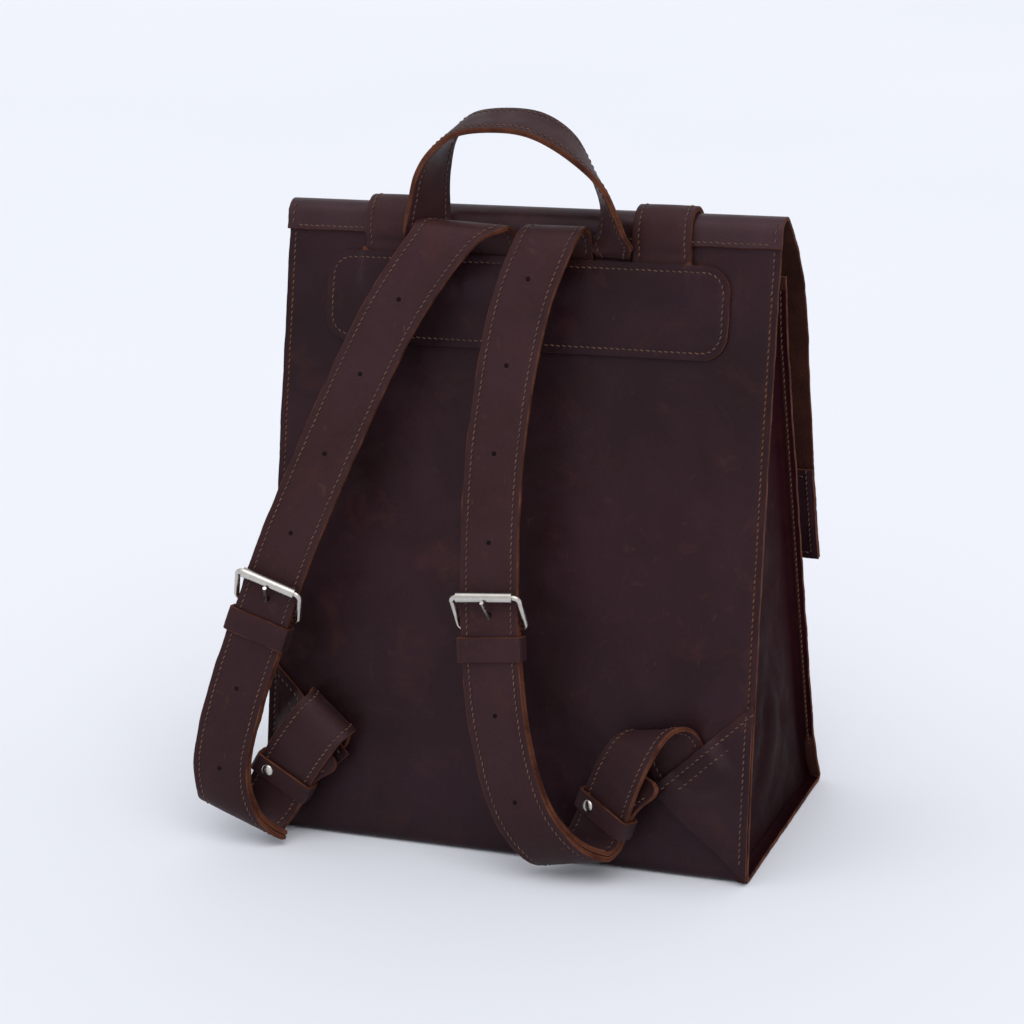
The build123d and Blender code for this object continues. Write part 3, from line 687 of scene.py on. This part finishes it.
swell = swell + np.where(is_front, front_sag(grid[..., 0], grid[..., 2]), 0)
swell = swell + seam_dip(edge_gap) * smoothstep(grid[..., 2], 2, 12)
grid = grid + body_n * swell[..., None]
body_n = grid_normals(grid)
piece("body_leather", shell_parts(grid, LEATHER, body_n), SHEET, "bag", "leather", "body_wrap")
tracks = []
for j in (SEAM_COLUMN, len(body_x) - 1 - SEAM_COLUMN):
    p, n = grid_line(grid, body_n, j=j, lift=0.12)
    for mask in ((p[:, 2] > 6) & (p[:, 1] > 0), (p[:, 2] > 6) & (p[:, 1] <= 0)):
        tracks.append((p[mask], n[mask]))
stitch_object("body_seam_stitches", tracks, "bag", "leather")

# Side panels: flanges at the seams, a soft web between them.
WEB_X = 142.5
WEB_LIMIT = 143
SIDE_DEPTH = 165
crease = waves(31, 60.0)
crease_fine = waves(32, 24.0)


def bell(x, centre, width):
    return math.exp(-(((x - centre) / width) ** 2))


def gusset_grid(side):
    """A side panel's grain face: rows going up, columns from the front flange to the back one."""
    rows_z = [2.7, 2.75, 2.95, 3.8, 5.6, 8.0, 11.0] + list(np.linspace(15, 329.7, 105))
    rows_x = [150.8, 148.2, 145.6, 143.8, 142.9, 142.6] + [WEB_X] * 106
    out = []
    web = np.linspace(0, 1, 34)
    for z, rx in zip(rows_z, rows_x):
        slope = 1.12 if z < OUTLINE[2][1] else 1.03
        yf = front_y(z) + (LEATHER + 0.12) * slope
        yb = back_y(z) - (LEATHER + 0.12) * 1.02
        ys = [yf, yf, yf + 0.25, yf + 1.3, yf + 3.2]
        xs = [150.9, 147.4, 144.6, 143.1, WEB_X]
        flange = list(zip(xs, ys))
        flat = [(WEB_X, yf + 5.5 + (yb - yf - 11.0) * t) for t in web]
        cols = flange + flat + [(x, yf + yb - y) for x, y in flange[::-1]]
        row = []
        for x, y in cols:
            t = (y - yf) / max(yb - yf, 1)
            inside = math.sin(math.pi * min(max(t, 0), 1)) ** 1.2
            p = np.array([[0.0, y, z]])
            bulge = 4.4 * bell(z, 62, 52) * inside - 2.6 * smoothstep(z, 120, 300) * inside
            folds = (1.2 * crease(p)[0] + 0.2 * crease_fine(p)[0]) * inside
            folds = folds * smoothstep(z, 6, 30) * (1 - 0.5 * smoothstep(z, 150, 260))
            # soft folds that run from the lower corners towards the middle
            back_fold = bell((1 - t) * SIDE_DEPTH, z * 0.55 + 12, 9.0) * bell(z, 45, 45)
            front_fold = bell(t * SIDE_DEPTH, z * 0.7 + 10, 10.0) * bell(z, 50, 50)
            dx = bulge + folds - 2.2 * (back_fold + front_fold) * inside
            in_web = x < WEB_LIMIT and rx < WEB_LIMIT
            row.append((side * (max(x, rx) + (dx if in_web else 0.0)), y, z))
        out.append(row)
    return np.array(out)


for side, tag in ((1, "left"), (-1, "right")):
    grid = gusset_grid(side)
    normals = outward(grid, 50, 20, 0, side)
    parts = shell_parts(grid, LEATHER, normals)
    piece(f"gusset_leather_{tag}", parts, [GRAIN_SIDE, FLESH, EDGE], "bag", "leather", f"gusset_{tag}")
    tracks = [grid_line(grid[8:], normals[8:], j=j, lift=0.1) for j in (1, grid.shape[1] - 2)]
    stitch_object(f"gusset_stitches_{tag}", tracks, "bag", "leather")


# ------------------------------------------------------------------ patches on the back
PATCH_HALF = 123.5
PATCH_TOP = 344.1
PATCH_LOW = 291.9
PATCH_CORNER = 15.0
# (x, width) of what is sewn under the patch
UNDER_PATCH = [
    (22.2, STRAP_WIDTH), (-24.0, STRAP_WIDTH), (53.7, 21.0), (-53.2, 21.0),
    (CLOSURE_X, STRAP_WIDTH), (-CLOSURE_X, STRAP_WIDTH),
]


def patch_lift(x, z):
    """Height of the patch above the panel: raised over the strap ends."""
    over = np.zeros_like(x)
    for centre, width in UNDER_PATCH:
        over = np.maximum(over, 1 - smoothstep(np.abs(x - centre), width / 2 - 0.5, width / 2 + 5.0))
    return 0.25 + 4.1 * over * smoothstep(z, 317, 333)


def back_frame(x, z, lift):
    """Points on the back panel at a height above it, with the panel's normal there."""
    z = np.asarray(z, float)
    y = np.vectorize(back_y)(z)
    slope = np.vectorize(back_y)(z + 0.5) - np.vectorize(back_y)(z - 0.5)
    n = unit(np.stack([np.zeros_like(z), np.ones_like(z), -slope], -1))
    return np.stack([x, y, z], -1) + n * np.asarray(lift)[..., None], n


PATCH_EDGE = np.array([0, 0.25, 0.8, 1.8, 3.0, 4.0, 5.0, 6.5, 8.5, 11, 14])
patch_height = PATCH_TOP - PATCH_LOW
v = np.concatenate([PATCH_EDGE, np.linspace(17, patch_height - 17, 10), patch_height - PATCH_EDGE[::-1]])
patch_z = PATCH_LOW + v
depth = np.minimum(np.minimum(patch_z - PATCH_LOW, PATCH_TOP - patch_z), PATCH_CORNER)
narrow = PATCH_CORNER - np.sqrt(np.maximum(PATCH_CORNER**2 - (PATCH_CORNER - depth) ** 2, 0))
base_x = spread(PATCH_HALF, step=2.6)
gx = base_x[None, :] * ((PATCH_HALF - narrow) / PATCH_HALF)[:, None]
gz = np.repeat(patch_z[:, None], len(base_x), 1)
edge = np.minimum(np.minimum(gz - PATCH_LOW, PATCH_TOP - gz), PATCH_HALF - np.abs(gx))
corner_x = np.maximum(np.abs(gx) - (PATCH_HALF - PATCH_CORNER), 0)
corner_z = np.maximum(np.abs(gz - (PATCH_LOW + PATCH_TOP) / 2) - (patch_height / 2 - PATCH_CORNER), 0)
in_corner = (corner_x > 0) & (corner_z > 0)
edge = np.where(in_corner, PATCH_CORNER - np.hypot(corner_x, corner_z), edge)
uneven = 0.25 * sag_fine(np.stack([gx, gx * 0, gz], -1)) * smoothstep(edge, 4, 14)
grid, _ = back_frame(gx, gz, patch_lift(gx, gz) + LEATHER + seam_dip(edge) + uneven)
parts = shell_parts(grid, LEATHER, outward(grid, 10, 10, 1))
piece("back_patch_leather", parts, SHEET, "bag", "leather", "back_patch")


line_radius = PATCH_CORNER - SEAM_INSET
low = PATCH_LOW + PATCH_CORNER
high = PATCH_TOP - PATCH_CORNER
loop = rounded_box(PATCH_HALF - PATCH_CORNER, low, high, line_radius, 10, 1.0)
p, n = back_frame(loop[:, 0], loop[:, 1], patch_lift(loop[:, 0], loop[:, 1]) + LEATHER - 0.22)
stitch_object("back_patch_stitches", [(p, n)], "bag", "leather")

# Corner patches over the lower strap ends.
CORNER_STRAP = {"right": ((-109, 68), (-118, 56)), "left": ((113, 67), (121, 56))}


def corner_lift(x, z, tag):
    """Height of a corner patch above the panel: raised over the strap that runs under it."""
    (x0, z0), (x1, z1) = CORNER_STRAP[tag]
    d = np.array([x1 - x0, z1 - z0], float)
    d /= np.linalg.norm(d)
    rel_x, rel_z = x - x0, z - z0
    along = rel_x * d[0] + rel_z * d[1]
    lateral = np.abs(rel_x * -d[1] + rel_z * d[0])
    over = (1 - smoothstep(lateral, 17.0, 27.0)) * (1 - smoothstep(along, 15.5, 27.0))
    # towards the inner corner the free lower edge stands off the panel
    (bx, bz), (cx, cz) = CORNER_PATCH[1:]
    side_x = np.abs(x)
    length = math.hypot(cx - bx, cz - bz)
    from_edge = np.abs((side_x - bx) * (cz - bz) - (z - bz) * (cx - bx)) / length
    down = ((side_x - bx) * (cx - bx) + (z - bz) * (cz - bz)) / length**2
    free = (1 - smoothstep(from_edge, 3.0, 34.0)) * smoothstep(1 - down, 0.02, 0.8)
    return 0.3 + np.maximum(4.0 * over, 6.5 * free)


def corner_track(tag, start, stop):
    """A line of stitches between two (x, z) places on a corner patch."""
    line = resample([start, stop], 1.0)
    lift = corner_lift(line[:, 0], line[:, 1], tag) + LEATHER - 0.2
    return back_frame(line[:, 0], line[:, 1], lift)


SEAM_LENGTH = 75.0
SQUARENESS = 0.74  # distance from the side seam, for a step along a row that meets it at a slant
for side, tag in ((-1, "right"), (1, "left")):
    top, inner, low = [np.array([side * a, b]) for a, b in CORNER_PATCH]
    f = np.concatenate([
        [0, 0.006, 0.02, 0.035, 0.053, 0.07, 0.09], np.linspace(0.115, 0.93, 30),
        [0.95, 0.965, 0.978, 0.988]])
    t = np.concatenate([
        [0, 0.006, 0.02, 0.04, 0.053, 0.066, 0.085], np.linspace(0.11, 0.89, 30),
        1 - np.array([0.085, 0.066, 0.053, 0.04, 0.02, 0.006, 0])])
    start = inner[None, :] + (low - inner)[None, :] * f[:, None]
    stop = top[None, :] + (low - top)[None, :] * f[:, None]
    xz = start[:, None, :] + (stop - start)[:, None, :] * t[None, :, None]
    from_ab = f[:, None] * SEAM_LENGTH * np.ones_like(t)[None, :]
    from_ac = (1 - t)[None, :] * np.linalg.norm(stop - start, axis=1)[:, None] * SQUARENESS
    lift = corner_lift(xz[..., 0], xz[..., 1], tag) + LEATHER
    grid, _ = back_frame(xz[..., 0], xz[..., 1], lift + seam_dip(from_ab) + seam_dip(from_ac))
    parts = shell_parts(grid, LEATHER, outward(grid, 10, 10, 1))
    piece(f"corner_patch_leather_{tag}", parts, SHEET, "bag", "leather", f"corner_patch_{tag}")
    ab = (top - inner) / np.linalg.norm(top - inner)
    inward = np.array([ab[1] * side, -ab[0] * side])
    if np.dot(inward, low - inner) < 0:
        inward = -inward
    tracks = []
    for inset, a, b in ((SEAM_INSET, 4.0, 74.0), (SEAM_INSET + 6.5, 12.0, 50.0)):
        first = inner + inward * inset
        tracks.append(corner_track(tag, first + ab * a, first + ab * b))
    seam_x = side * (CORNER_PATCH[0][0] - SEAM_INSET)
    tracks.append(corner_track(tag, (seam_x, 98.0), (seam_x, 12.0)))
    stitch_object(f"corner_patch_stitches_{tag}", tracks, "bag", "leather")


# ------------------------------------------------------------------ the flap
FLAP_BEND = ("bag", "flap", (0, 0.0115, 0.36), (0, -0.010, 0.36))
FLAP_STEP = 2.4
SEWN_SEAM = 3.4
flap_wave = waves(41, 130.0)


def flap_sag(x, z):
    p = np.stack([x, np.zeros_like(x), z], -1)
    return (1.2 * flap_wave(p) + 0.3 * sag_fine(p)) * (1 - smoothstep(z, 300, 350))


def arc(radius, start, stop, count=16):
    a = np.radians(np.linspace(start, stop, count))
    return [(FOLD_CENTRE[0] + radius * math.cos(k), FOLD_CENTRE[1] + radius * math.sin(k)) for k in a]


sewn = [(back_y(z) + 0.15 + LEATHER * slope, z) for z, slope in ((355.2, 1.03), (357.5, 0.9))]
flap_outer = sewn + arc(FOLD_RADIUS, 8, FOLD_END) + FLAP_FACE[:-1] + [(-76.9, 148.3)]
flap_path = resample(flap_outer, FLAP_STEP, 3)
flap_x = spread(FLAP_HALF - 0.3)
grid = np.zeros((len(flap_path), len(flap_x), 3))
grid[..., 0] = flap_x[None, :]
grid[..., 1] = flap_path[:, None, 0]
grid[..., 2] = flap_path[:, None, 1]
flap_n = outward(grid, -5, 20, 1, -1)
s_flap = np.arange(len(flap_path)) * FLAP_STEP
from_sewn = s_flap[:, None] * np.ones(len(flap_x))[None, :]
hanging = grid[..., 1] < -6
bump_out = np.where(hanging, flap_sag(grid[..., 0], grid[..., 2]), 0)
bump_out = bump_out + seam_dip(from_sewn, SEWN_SEAM)
low_edge = np.minimum(s_flap[-1] - from_sewn, FLAP_HALF - np.abs(grid[..., 0]))
bump_out = bump_out + np.where(grid[..., 2] < 213, seam_dip(low_edge), 0)
flap_grid = grid + flap_n * bump_out[..., None]
flap_n = outward(flap_grid, -5, 20, 1, -1)
parts = shell_parts(flap_grid, LEATHER, flap_n)
piece("flap_leather", parts, [GRAIN_FLAP_PAINTED_LIGHT, FLESH, EDGE], FLAP_BEND, "leather", "flap", "flap_fold")
row = int(np.argmin(np.abs(s_flap - SEWN_SEAM)))
p, n = grid_line(flap_grid, flap_n, i=row, lift=0.15)
keep = (np.abs(p[:, 0]) < 146)
tracks = [(p[keep], n[keep])]
for j in (SEAM_COLUMN, len(flap_x) - 1 - SEAM_COLUMN):
    p, n = grid_line(flap_grid, flap_n, j=j, lift=0.3)
    keep = (s_flap > 1.0) & (s_flap < 17.0)
    tracks.append((p[keep], n[keep]))
stitch_object("flap_sewn_stitches", tracks, FLAP_BEND, "leather")

# The reinforcement inside the flap's lower end, and the stitches that go round it.
start = int(np.argmin(np.abs(flap_path[:, 1] - 209.5)))
facing_grid = flap_grid[start:] - flap_n[start:] * (LEATHER + 0.12)
parts = shell_parts(facing_grid, 2.0, flap_n[start:])
piece("flap_facing_leather", parts, [FLESH, GRAIN, EDGE], "flap", "leather", "flap_facing")
tracks = []
lower = flap_grid[start:]
lower_n = flap_n[start:]
for sign, lift in ((1, 0.12), (-1, -(LEATHER + 2.2))):
    for j in (SEAM_COLUMN, len(flap_x) - 1 - SEAM_COLUMN):
        p, n = grid_line(lower, lower_n, j=j, lift=lift)
        tracks.append((p[:-2], n[:-2] * sign))
    for i in (2, len(lower) - 3):
        p, n = grid_line(lower, lower_n, i=i, lift=lift)
        keep = np.abs(p[:, 0]) < 147
        tracks.append((p[keep], n[keep] * sign))
stitch_object("flap_facing_stitches", tracks, "flap", "leather")


# ------------------------------------------------------------------ closure straps
def raised_path(heights, step=1.5):
    """(y, z) of a strap's underside that lies at changing heights above the flap."""
    line = [(p[0], p[1]) for p in FLAP_FACE]
    last, end = line[-2], line[-1]
    slope = (end[0] - last[0]) / (end[1] - last[1])
    low = heights[-1][1]
    if low < end[1]:
        line[-1] = (end[0] + slope * (low - end[1]), low)
    start = arc(FOLD_RADIUS, FOLD_END, FOLD_END, 1)[0]
    line = [start] + line
    top = min(heights[0][1], start[1])
    levels = sorted({z for _, z in heights + line if low < z < top} | {top, low}, reverse=True)
    pts = []
    for z in levels:
        y = at_level(line, z)
        dy = at_level(line, min(z + 0.5, top)) - at_level(line, max(z - 0.5, low))
        dz = min(z + 0.5, top) - max(z - 0.5, low)
        n = np.array([-dz, dy]) / math.hypot(dy, dz)
        h = at_level(heights, z)
        pts.append((y + n[0] * h, z + n[1] * h))
    return pts


def face_point(z, height):
    """A place on the flap's front face at a height above it: (y, z), up and out directions."""
    line = raised_path([(0.0, 372.0), (0.0, 116.0)])
    y = at_level(line, z)
    up = np.array([at_level(line, z + 1) - y, 1.0])
    up /= np.linalg.norm(up)
    out = np.array([-up[1], up[0]])
    return np.array([y, z]) + out * height, up, out


KEEPER_THICK = 1.9
KEEPER_CORNER = 1.8


def keeper_parts(centre, w, n, t, low, high, tall):
    """A band of leather round a strap: a closed loop in the plane of w and n, wide along t."""
    x = STRAP_WIDTH / 2 + 0.5 + KEEPER_THICK / 2 - KEEPER_CORNER
    z0 = low - KEEPER_THICK / 2 + KEEPER_CORNER
    z1 = high + KEEPER_THICK / 2 - KEEPER_CORNER
    loop = rounded_box(x, z0, z1, KEEPER_CORNER, 7, 1.4)[:-1]
    p = centre + np.outer(loop[:, 0], w) + np.outer(loop[:, 1], n)
    forward = unit(np.roll(p, -1, axis=0) - np.roll(p, 1, axis=0))
    out = unit(np.cross(forward, t))
    if np.mean(np.sum(out * (p - centre), axis=1)) < 0:
        out = -out
    fr = {"p": p, "w": np.tile(t, (len(p), 1)), "n": out, "slant": np.ones(len(p))}
    half = KEEPER_THICK / 2
    return band_parts(fr, tall, -half, half, crown=0.12, depth=0.0, closed=True, seam=False)


LOOP_CENTRE = 10.2
LOOP_WIDTH = 14.3
LOOP_RADIUS = 1.95


def loop_parts(heel, x_dir, y_dir, z_dir):
    """Leather folded round a buckle's bar, on each side of the prong."""
    parts = []
    a = np.radians(np.linspace(-60, 215, 26))
    for centre in (-LOOP_CENTRE, LOOP_CENTRE):
        middle = heel + x_dir * centre
        p = middle + np.outer(np.cos(a), z_dir) * LOOP_RADIUS + np.outer(np.sin(a), y_dir) * LOOP_RADIUS
        fr = {"p": p, "w": np.tile(x_dir, (len(p), 1)), "n": unit(p - middle), "slant": np.ones(len(p))}
        parts.append(band_parts(fr, LOOP_WIDTH, 0.0, 1.4, crown=0.05, depth=0.0, seam=False))
    return parts


def circle_about(x_dir, n, count=20):
    """Directions round a normal."""
    a = np.linspace(0, 2 * math.pi, count, endpoint=False)
    return np.outer(np.cos(a), x_dir) + np.outer(np.sin(a), np.cross(n, x_dir))


def hole_disc(centre, x_dir, n, radius=1.35):
    """The dark inside of a punched hole, with material index 1."""
    circle = circle_about(x_dir, n)
    verts = np.concatenate([centre + circle * radius + n * 0.06, centre + circle * radius - n * 0.3])
    faces = [tuple(range(20)), tuple(range(39, 19, -1))] + quads(2, 20)
    return verts, faces, [1] * len(faces)


def hole_rim(centre, x_dir, n):
    """The ring that punching presses up about a hole."""
    circle = circle_about(x_dir, n)
    turns = np.linspace(0, 2 * math.pi, 8, endpoint=False)
    verts = [centre + circle * (2.4 + 0.75 * math.cos(b)) + n * (0.16 * math.sin(b) + 0.02) for b in turns]
    faces = quads(8, 20, closed=True)
    return np.concatenate(verts), faces, [0] * len(faces)


def holed_strap(name, band, holes, where, *cad):
    """A strap with grain on both faces, joined with its holes."""
    verts, faces, indices = join_parts([band, *holes])
    kinds = [2 if m == 2 else 0 for m in band[2]] + indices[len(band[2]):]
    piece(name, (verts, faces, kinds), [GRAIN_STRAP, DARK, EDGE], where, "strap_leather", *cad)


def flap_field(p):
    """How far the flap's waves carry what lies on it."""
    return np.where(p[..., 1] < -6, flap_sag(p[..., 0], p[..., 2]), 0.0)


def on_flap(x, z, height):
    """A place at a height above the flap's face, with its up and out directions, in 3-D."""
    place_2d, up_2d, out_2d = face_point(z, height)
    return np.array([x, *place_2d]), np.array([0, *up_2d]), np.array([0, *out_2d])


ALONG_X = np.array([1.0, 0, 0])
for side, tag in ((-1, "right"), (1, "left")):
    x = side * CLOSURE_X
    under = [(back_y(z) + 0.2, z) for z in (332.0, 345.0, 351.0)] + [(back_y(355.5) + LEATHER + 0.7, 356.5)]
    under += arc(FOLD_RADIUS + 0.25, 12, FOLD_END - 4) + raised_path(CLOSURE_HEIGHTS)[1:]
    fr = flat_frame(resample(under, 1.5, 3), x)
    band = band_parts(fr, tip(fr, STRAP_WIDTH, 13.0), 0.05, STRAP + 0.05, field=flap_field)
    holes = []
    for z in (231.0, 190.0, 256.0):
        i = int(np.argmin(np.abs(fr["p"][:, 2] - z) + (fr["p"][:, 1] > -10) * 1000))
        c = fr["p"][i] + fr["n"][i] * (STRAP + 0.32 + flap_field(fr["p"][i:i + 1])[0])
        holes += [hole_disc(c, fr["t"][i], fr["n"][i]), hole_rim(c, fr["t"][i], fr["n"][i])]
    cad = (f"closure_strap_{tag}", f"closure_end_{tag}")
    holed_strap(f"closure_strap_leather_{tag}", band, holes, FLAP_BEND, *cad)
    tracks = both_faces(fr, STRAP_WIDTH, STRAP + 0.1, 0.0, flap_field, (14, 9))
    stitch_object(f"closure_strap_stitches_{tag}", tracks, FLAP_BEND, "strap_leather")

    # the tab that holds the buckle and hangs below the flap
    fr = flat_frame(resample(raised_path(TAB_HEIGHTS), 1.5, 2), x)
    heel, up, out = on_flap(x, TAB_HEEL_Z, TAB_HEEL_HEIGHT + HEEL_HEIGHT)
    parts = [band_parts(fr, tip(fr, STRAP_WIDTH, 15.0, square=0.3), 0.05, STRAP + 0.05, field=flap_field)]
    parts += loop_parts(heel, ALONG_X, up, out)
    tab = f"closure_tab_leather_{tag}"
    piece(tab, join_parts(parts), STRAPS, "flap", "strap_leather", f"closure_tab_{tag}")
    tracks = both_faces(fr, STRAP_WIDTH, STRAP + 0.1, 0.0, flap_field, (6, 10))
    stitch_object(f"closure_tab_stitches_{tag}", tracks, "flap", "strap_leather")

    centre, up, out = on_flap(x, TAB_KEEPER_Z, 0.0)
    parts = keeper_parts(centre, ALONG_X, out, up, 2.3, 9.75, 14.5)
    keeper = f"closure_keeper_leather_{tag}"
    piece(keeper, parts, STRAPS, "flap", "strap_leather", f"closure_keeper_{tag}")


# ------------------------------------------------------------------ handle and shoulder straps
HANDLE_BEND = ("bag", "handle", (0, 0.02, 0.346), (0, 0.02, 0.362))


def handle_width(us):
    """The handle narrows towards its sewn ends."""
    from_end = np.minimum(us, len(HANDLE_ROUTE) - 1 - us)
    return 20.6 + 9.4 * smoothstep(from_end, 2.5, 3.7)


fr = route_frame(HANDLE_ROUTE, 0, len(HANDLE_ROUTE) - 1, 1.6)
width = handle_width(fr["u"])
soft = waves(51, 40.0)
parts = band_parts(fr, width, -STRAP / 2, STRAP / 2, crown=0.2, field=lambda p: 0.15 * soft(p))
cad = ("handle", "handle_end_left", "handle_end_right")
piece("handle_leather", parts, STRAPS, HANDLE_BEND, "strap_leather", *cad)
tracks = both_faces(fr, width, STRAP / 2 + 0.08, -STRAP / 2 - 0.02, None, (10, 10))
stitch_object("handle_stitches", tracks, HANDLE_BEND, "strap_leather")

# Heights of the faces of a strap's two layers above its route
UPPER = (0.2, 0.05 + STRAP)
LOWER = (-0.05 - STRAP, -0.2)


def at_distance(fr, u, distance):
    """Index of the place that is a distance along a frame from a route place."""
    s0 = np.interp(u, fr["u"], fr["s"])
    return int(np.argmin(np.abs(fr["s"] - (s0 + distance))))


def square_axes(fr, i):
    """A place on a frame, with its width made square to its length."""
    w = unit(np.cross(fr["n"][i], fr["t"][i]))
    return fr["p"][i], w, fr["n"][i], fr["t"][i]


def keeper_rivet(tag, strap_body, spot, w, n, t):
    """A domed rivet head on a keeper's underside, turned about -n."""
    a = np.linspace(0, 2 * math.pi, 28, endpoint=False)
    circle = np.outer(np.cos(a), w) + np.outer(np.sin(a), t)
    rings = [(3.7, -0.1), (3.75, 0.25), (3.5, 0.75), (2.8, 1.15), (1.6, 1.4), (0.5, 1.48)]
    verts = np.concatenate([spot + circle * r - n * h for r, h in rings])
    faces = quads(len(rings), 28) + [tuple(range(28)), tuple(range(len(verts) - 1, len(verts) - 29, -1))]
    parts = (verts, faces, [0] * len(faces))
    rivet = f"keeper_rivet_metal_{tag}"
    piece(rivet, parts, [NICKEL], strap_body, "nickel", f"keeper_rivet_{tag}", sharp=50)


for tag, stations, seed in (("right", RIGHT_ROUTE, 61), ("left", LEFT_ROUTE, 71)):
    strap_body = f"strap_{tag}"
    buckle_place = BUCKLE_PLACES[tag]
    top_bend = ("bag", strap_body, (0, 0.019, 0), (0, 0.036, 0))
    low_bend = ("bag", strap_body, (0, 0.081, 0), (0, 0.095, 0))
    ripple = waves(seed, 55.0)
    ripple_fine = waves(seed + 1, 15.0)

    def wavy(p):
        return 0.28 * ripple(p) + 0.06 * ripple_fine(p)

    # the holed layer: its tail swings aside beyond the riveted keeper
    fr = route_frame(stations, 0.0, TAIL_END + 0.15, 1.8)
    aside = smoothstep(fr["u"], SLIDE_KEEPER_PLACE + 0.2, TAIL_END + 0.3)[:, None]
    fr["p"] = fr["p"] + aside * (fr["w"] * 9.0 + fr["n"] * 6.0)
    band = band_parts(fr, tip(fr, STRAP_WIDTH, 10.0, square=0.55), *UPPER, field=wavy)
    holes = []
    for count in (-4, -3, -2, -1, 1, 2):
        p, w, n, t = square_axes(fr, at_distance(fr, buckle_place, count * HOLE_PITCH))
        c = p + n * (UPPER[1] + 0.26 + wavy(p[None])[0])
        holes += [hole_disc(c, t, n), hole_rim(c, t, n)]
    p, w, n, t = square_axes(fr, at_distance(fr, buckle_place, -7.5))
    holes.append(hole_disc(p + n * (UPPER[1] + 0.24 + wavy(p[None])[0]), t, n, radius=2.0))
    cad = (f"shoulder_strap_{tag}", f"strap_end_{tag}")
    holed_strap(f"shoulder_strap_leather_{tag}", band, holes, top_bend, *cad)
    tracks = both_faces(fr, STRAP_WIDTH, UPPER[1] + 0.08, UPPER[0] - 0.02, wavy, (12, 8))
    stitch_object(f"shoulder_strap_stitches_{tag}", tracks, top_bend, "strap_leather")

    # lower strap, from the buckle to the corner patch
    fr = route_frame(stations, buckle_place + 0.03, len(stations) - 1, 1.5)
    parts = [band_parts(fr, STRAP_WIDTH, *LOWER, field=wavy)]
    origin, w, n, t = square_axes(route_frame(stations, buckle_place, buckle_place + 0.3, 1.0), 0)
    parts += loop_parts(origin - n * 0.075 + n * HEEL_HEIGHT, w, -t, n)
    cad = (f"lower_strap_{tag}", f"corner_strap_end_{tag}")
    piece(f"lower_strap_leather_{tag}", join_parts(parts), STRAPS, low_bend, "strap_leather", *cad)
    tracks = []
    beyond = fr["u"] > TAIL_END + 0.1
    for edge_side in (1, -1):
        p, n = track(fr, edge_side, STRAP_WIDTH, LOWER[0] - 0.05, wavy, (6, 8))
        tracks.append((p, -n))
        p, n = track(fr, edge_side, STRAP_WIDTH, LOWER[1] + 0.05, wavy)
        tracks.append((p[beyond], n[beyond]))
    stitch_object(f"lower_strap_stitches_{tag}", tracks, low_bend, "strap_leather")

    # keepers, and the rivet of the lower one
    whole = route_frame(stations, 8.0, 17.0, 0.8)
    fixed = ("fixed_keeper", KEEPER_PLACES[tag], 14.5, 0.5)
    sliding = ("sliding_keeper", SLIDE_KEEPER_PLACE, 12.0, 0.9)
    for name, u, tall, room in (fixed, sliding):
        centre, w, n, t = square_axes(whole, int(np.argmin(np.abs(whole["u"] - u))))
        reach = STRAP + room
        parts = keeper_parts(centre, w, n, t, -reach, reach, tall)
        piece(f"{name}_leather_{tag}", parts, STRAPS, strap_body, "strap_leather", f"{name}_{tag}")
    keeper_rivet(tag, strap_body, centre + w * -9 - n * (reach + 1.95), w, n, t)

# ------------------------------------------------------------------ metal of the CAD part
def plate(name, metal_material):
    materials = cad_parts[name].data.materials
    materials.clear()
    materials.append(metal_material)


for tag in ("left", "right"):
    for kind in ("closure_buckle", "shoulder_buckle"):
        for part in ("frame", "roller", "prong"):
            plate(f"{kind}_{tag}_{part}", NICKEL)
    plate(f"tab_magnet_{tag}", STEEL)
    plate(f"panel_magnet_{tag}", STEEL)

# ------------------------------------------------------------------ floor, light and camera
bpy.ops.mesh.primitive_plane_add(size=60, location=(0, 0, -0.0002))
floor = bpy.context.object
floor.name = "floor"
paper = Surface("floor_paper")
tone = paper.ramp(paper.noise(0.6, 2.0), (0.3, (0.80, 0.825, 0.885)), (0.7, (0.83, 0.85, 0.90)))
paper.finish({"Base Color": tone, "Roughness": 0.75, "Specular IOR Level": 0.2})
floor.data.materials.append(paper.material)

world = bpy.data.worlds.new("studio")
world.use_nodes = True
background = world.node_tree.nodes["Background"]
background.inputs["Color"].default_value = (0.935, 0.945, 0.98, 1)
background.inputs["Strength"].default_value = 0.775
bpy.context.scene.world = world


def sun(name, direction, strength, angle, colour):
    """A soft, distant light that shines along a direction."""
    light = bpy.data.lights.new(name, "SUN")
    light.energy = strength
    light.angle = math.radians(angle)
    light.color = colour
    obj = bpy.data.objects.new(name, light)
    bpy.context.scene.collection.objects.link(obj)
    obj.rotation_euler = Vector(direction).to_track_quat("-Z", "Y").to_euler()


sun("key", (0.35, -0.55, -1.0), 0.95, 50, (1.0, 0.99, 0.98))
sun("front", (0.35, -1.0, -0.55), 0.30, 60, (0.97, 0.97, 1.0))
sun("top", (-0.30, -0.25, -0.90), 0.22, 40, (1.0, 1.0, 1.0))

camera = bpy.data.cameras.new("camera")
camera.sensor_width = 36.0
camera.lens = 97.06
camera.clip_start = 0.05
camera.clip_end = 100
cam = bpy.data.objects.new("camera", camera)
bpy.context.scene.collection.objects.link(cam)
CAMERA_PLACE = (-0.5456, 1.4881, 0.6565)
forward = Vector((0.34008776, -0.89649664, -0.28396142)).normalized()
up = Vector((0.07488103, -0.27518515, 0.95847064)).normalized()
right = forward.cross(up).normalized()
rows = [(r, u, -f, at) for r, u, f, at in zip(right, up, forward, CAMERA_PLACE)]
cam.matrix_world = Matrix((*rows, (0, 0, 0, 1)))
bpy.context.scene.camera = cam
bpy.context.scene.view_settings.view_transform = "Standard"
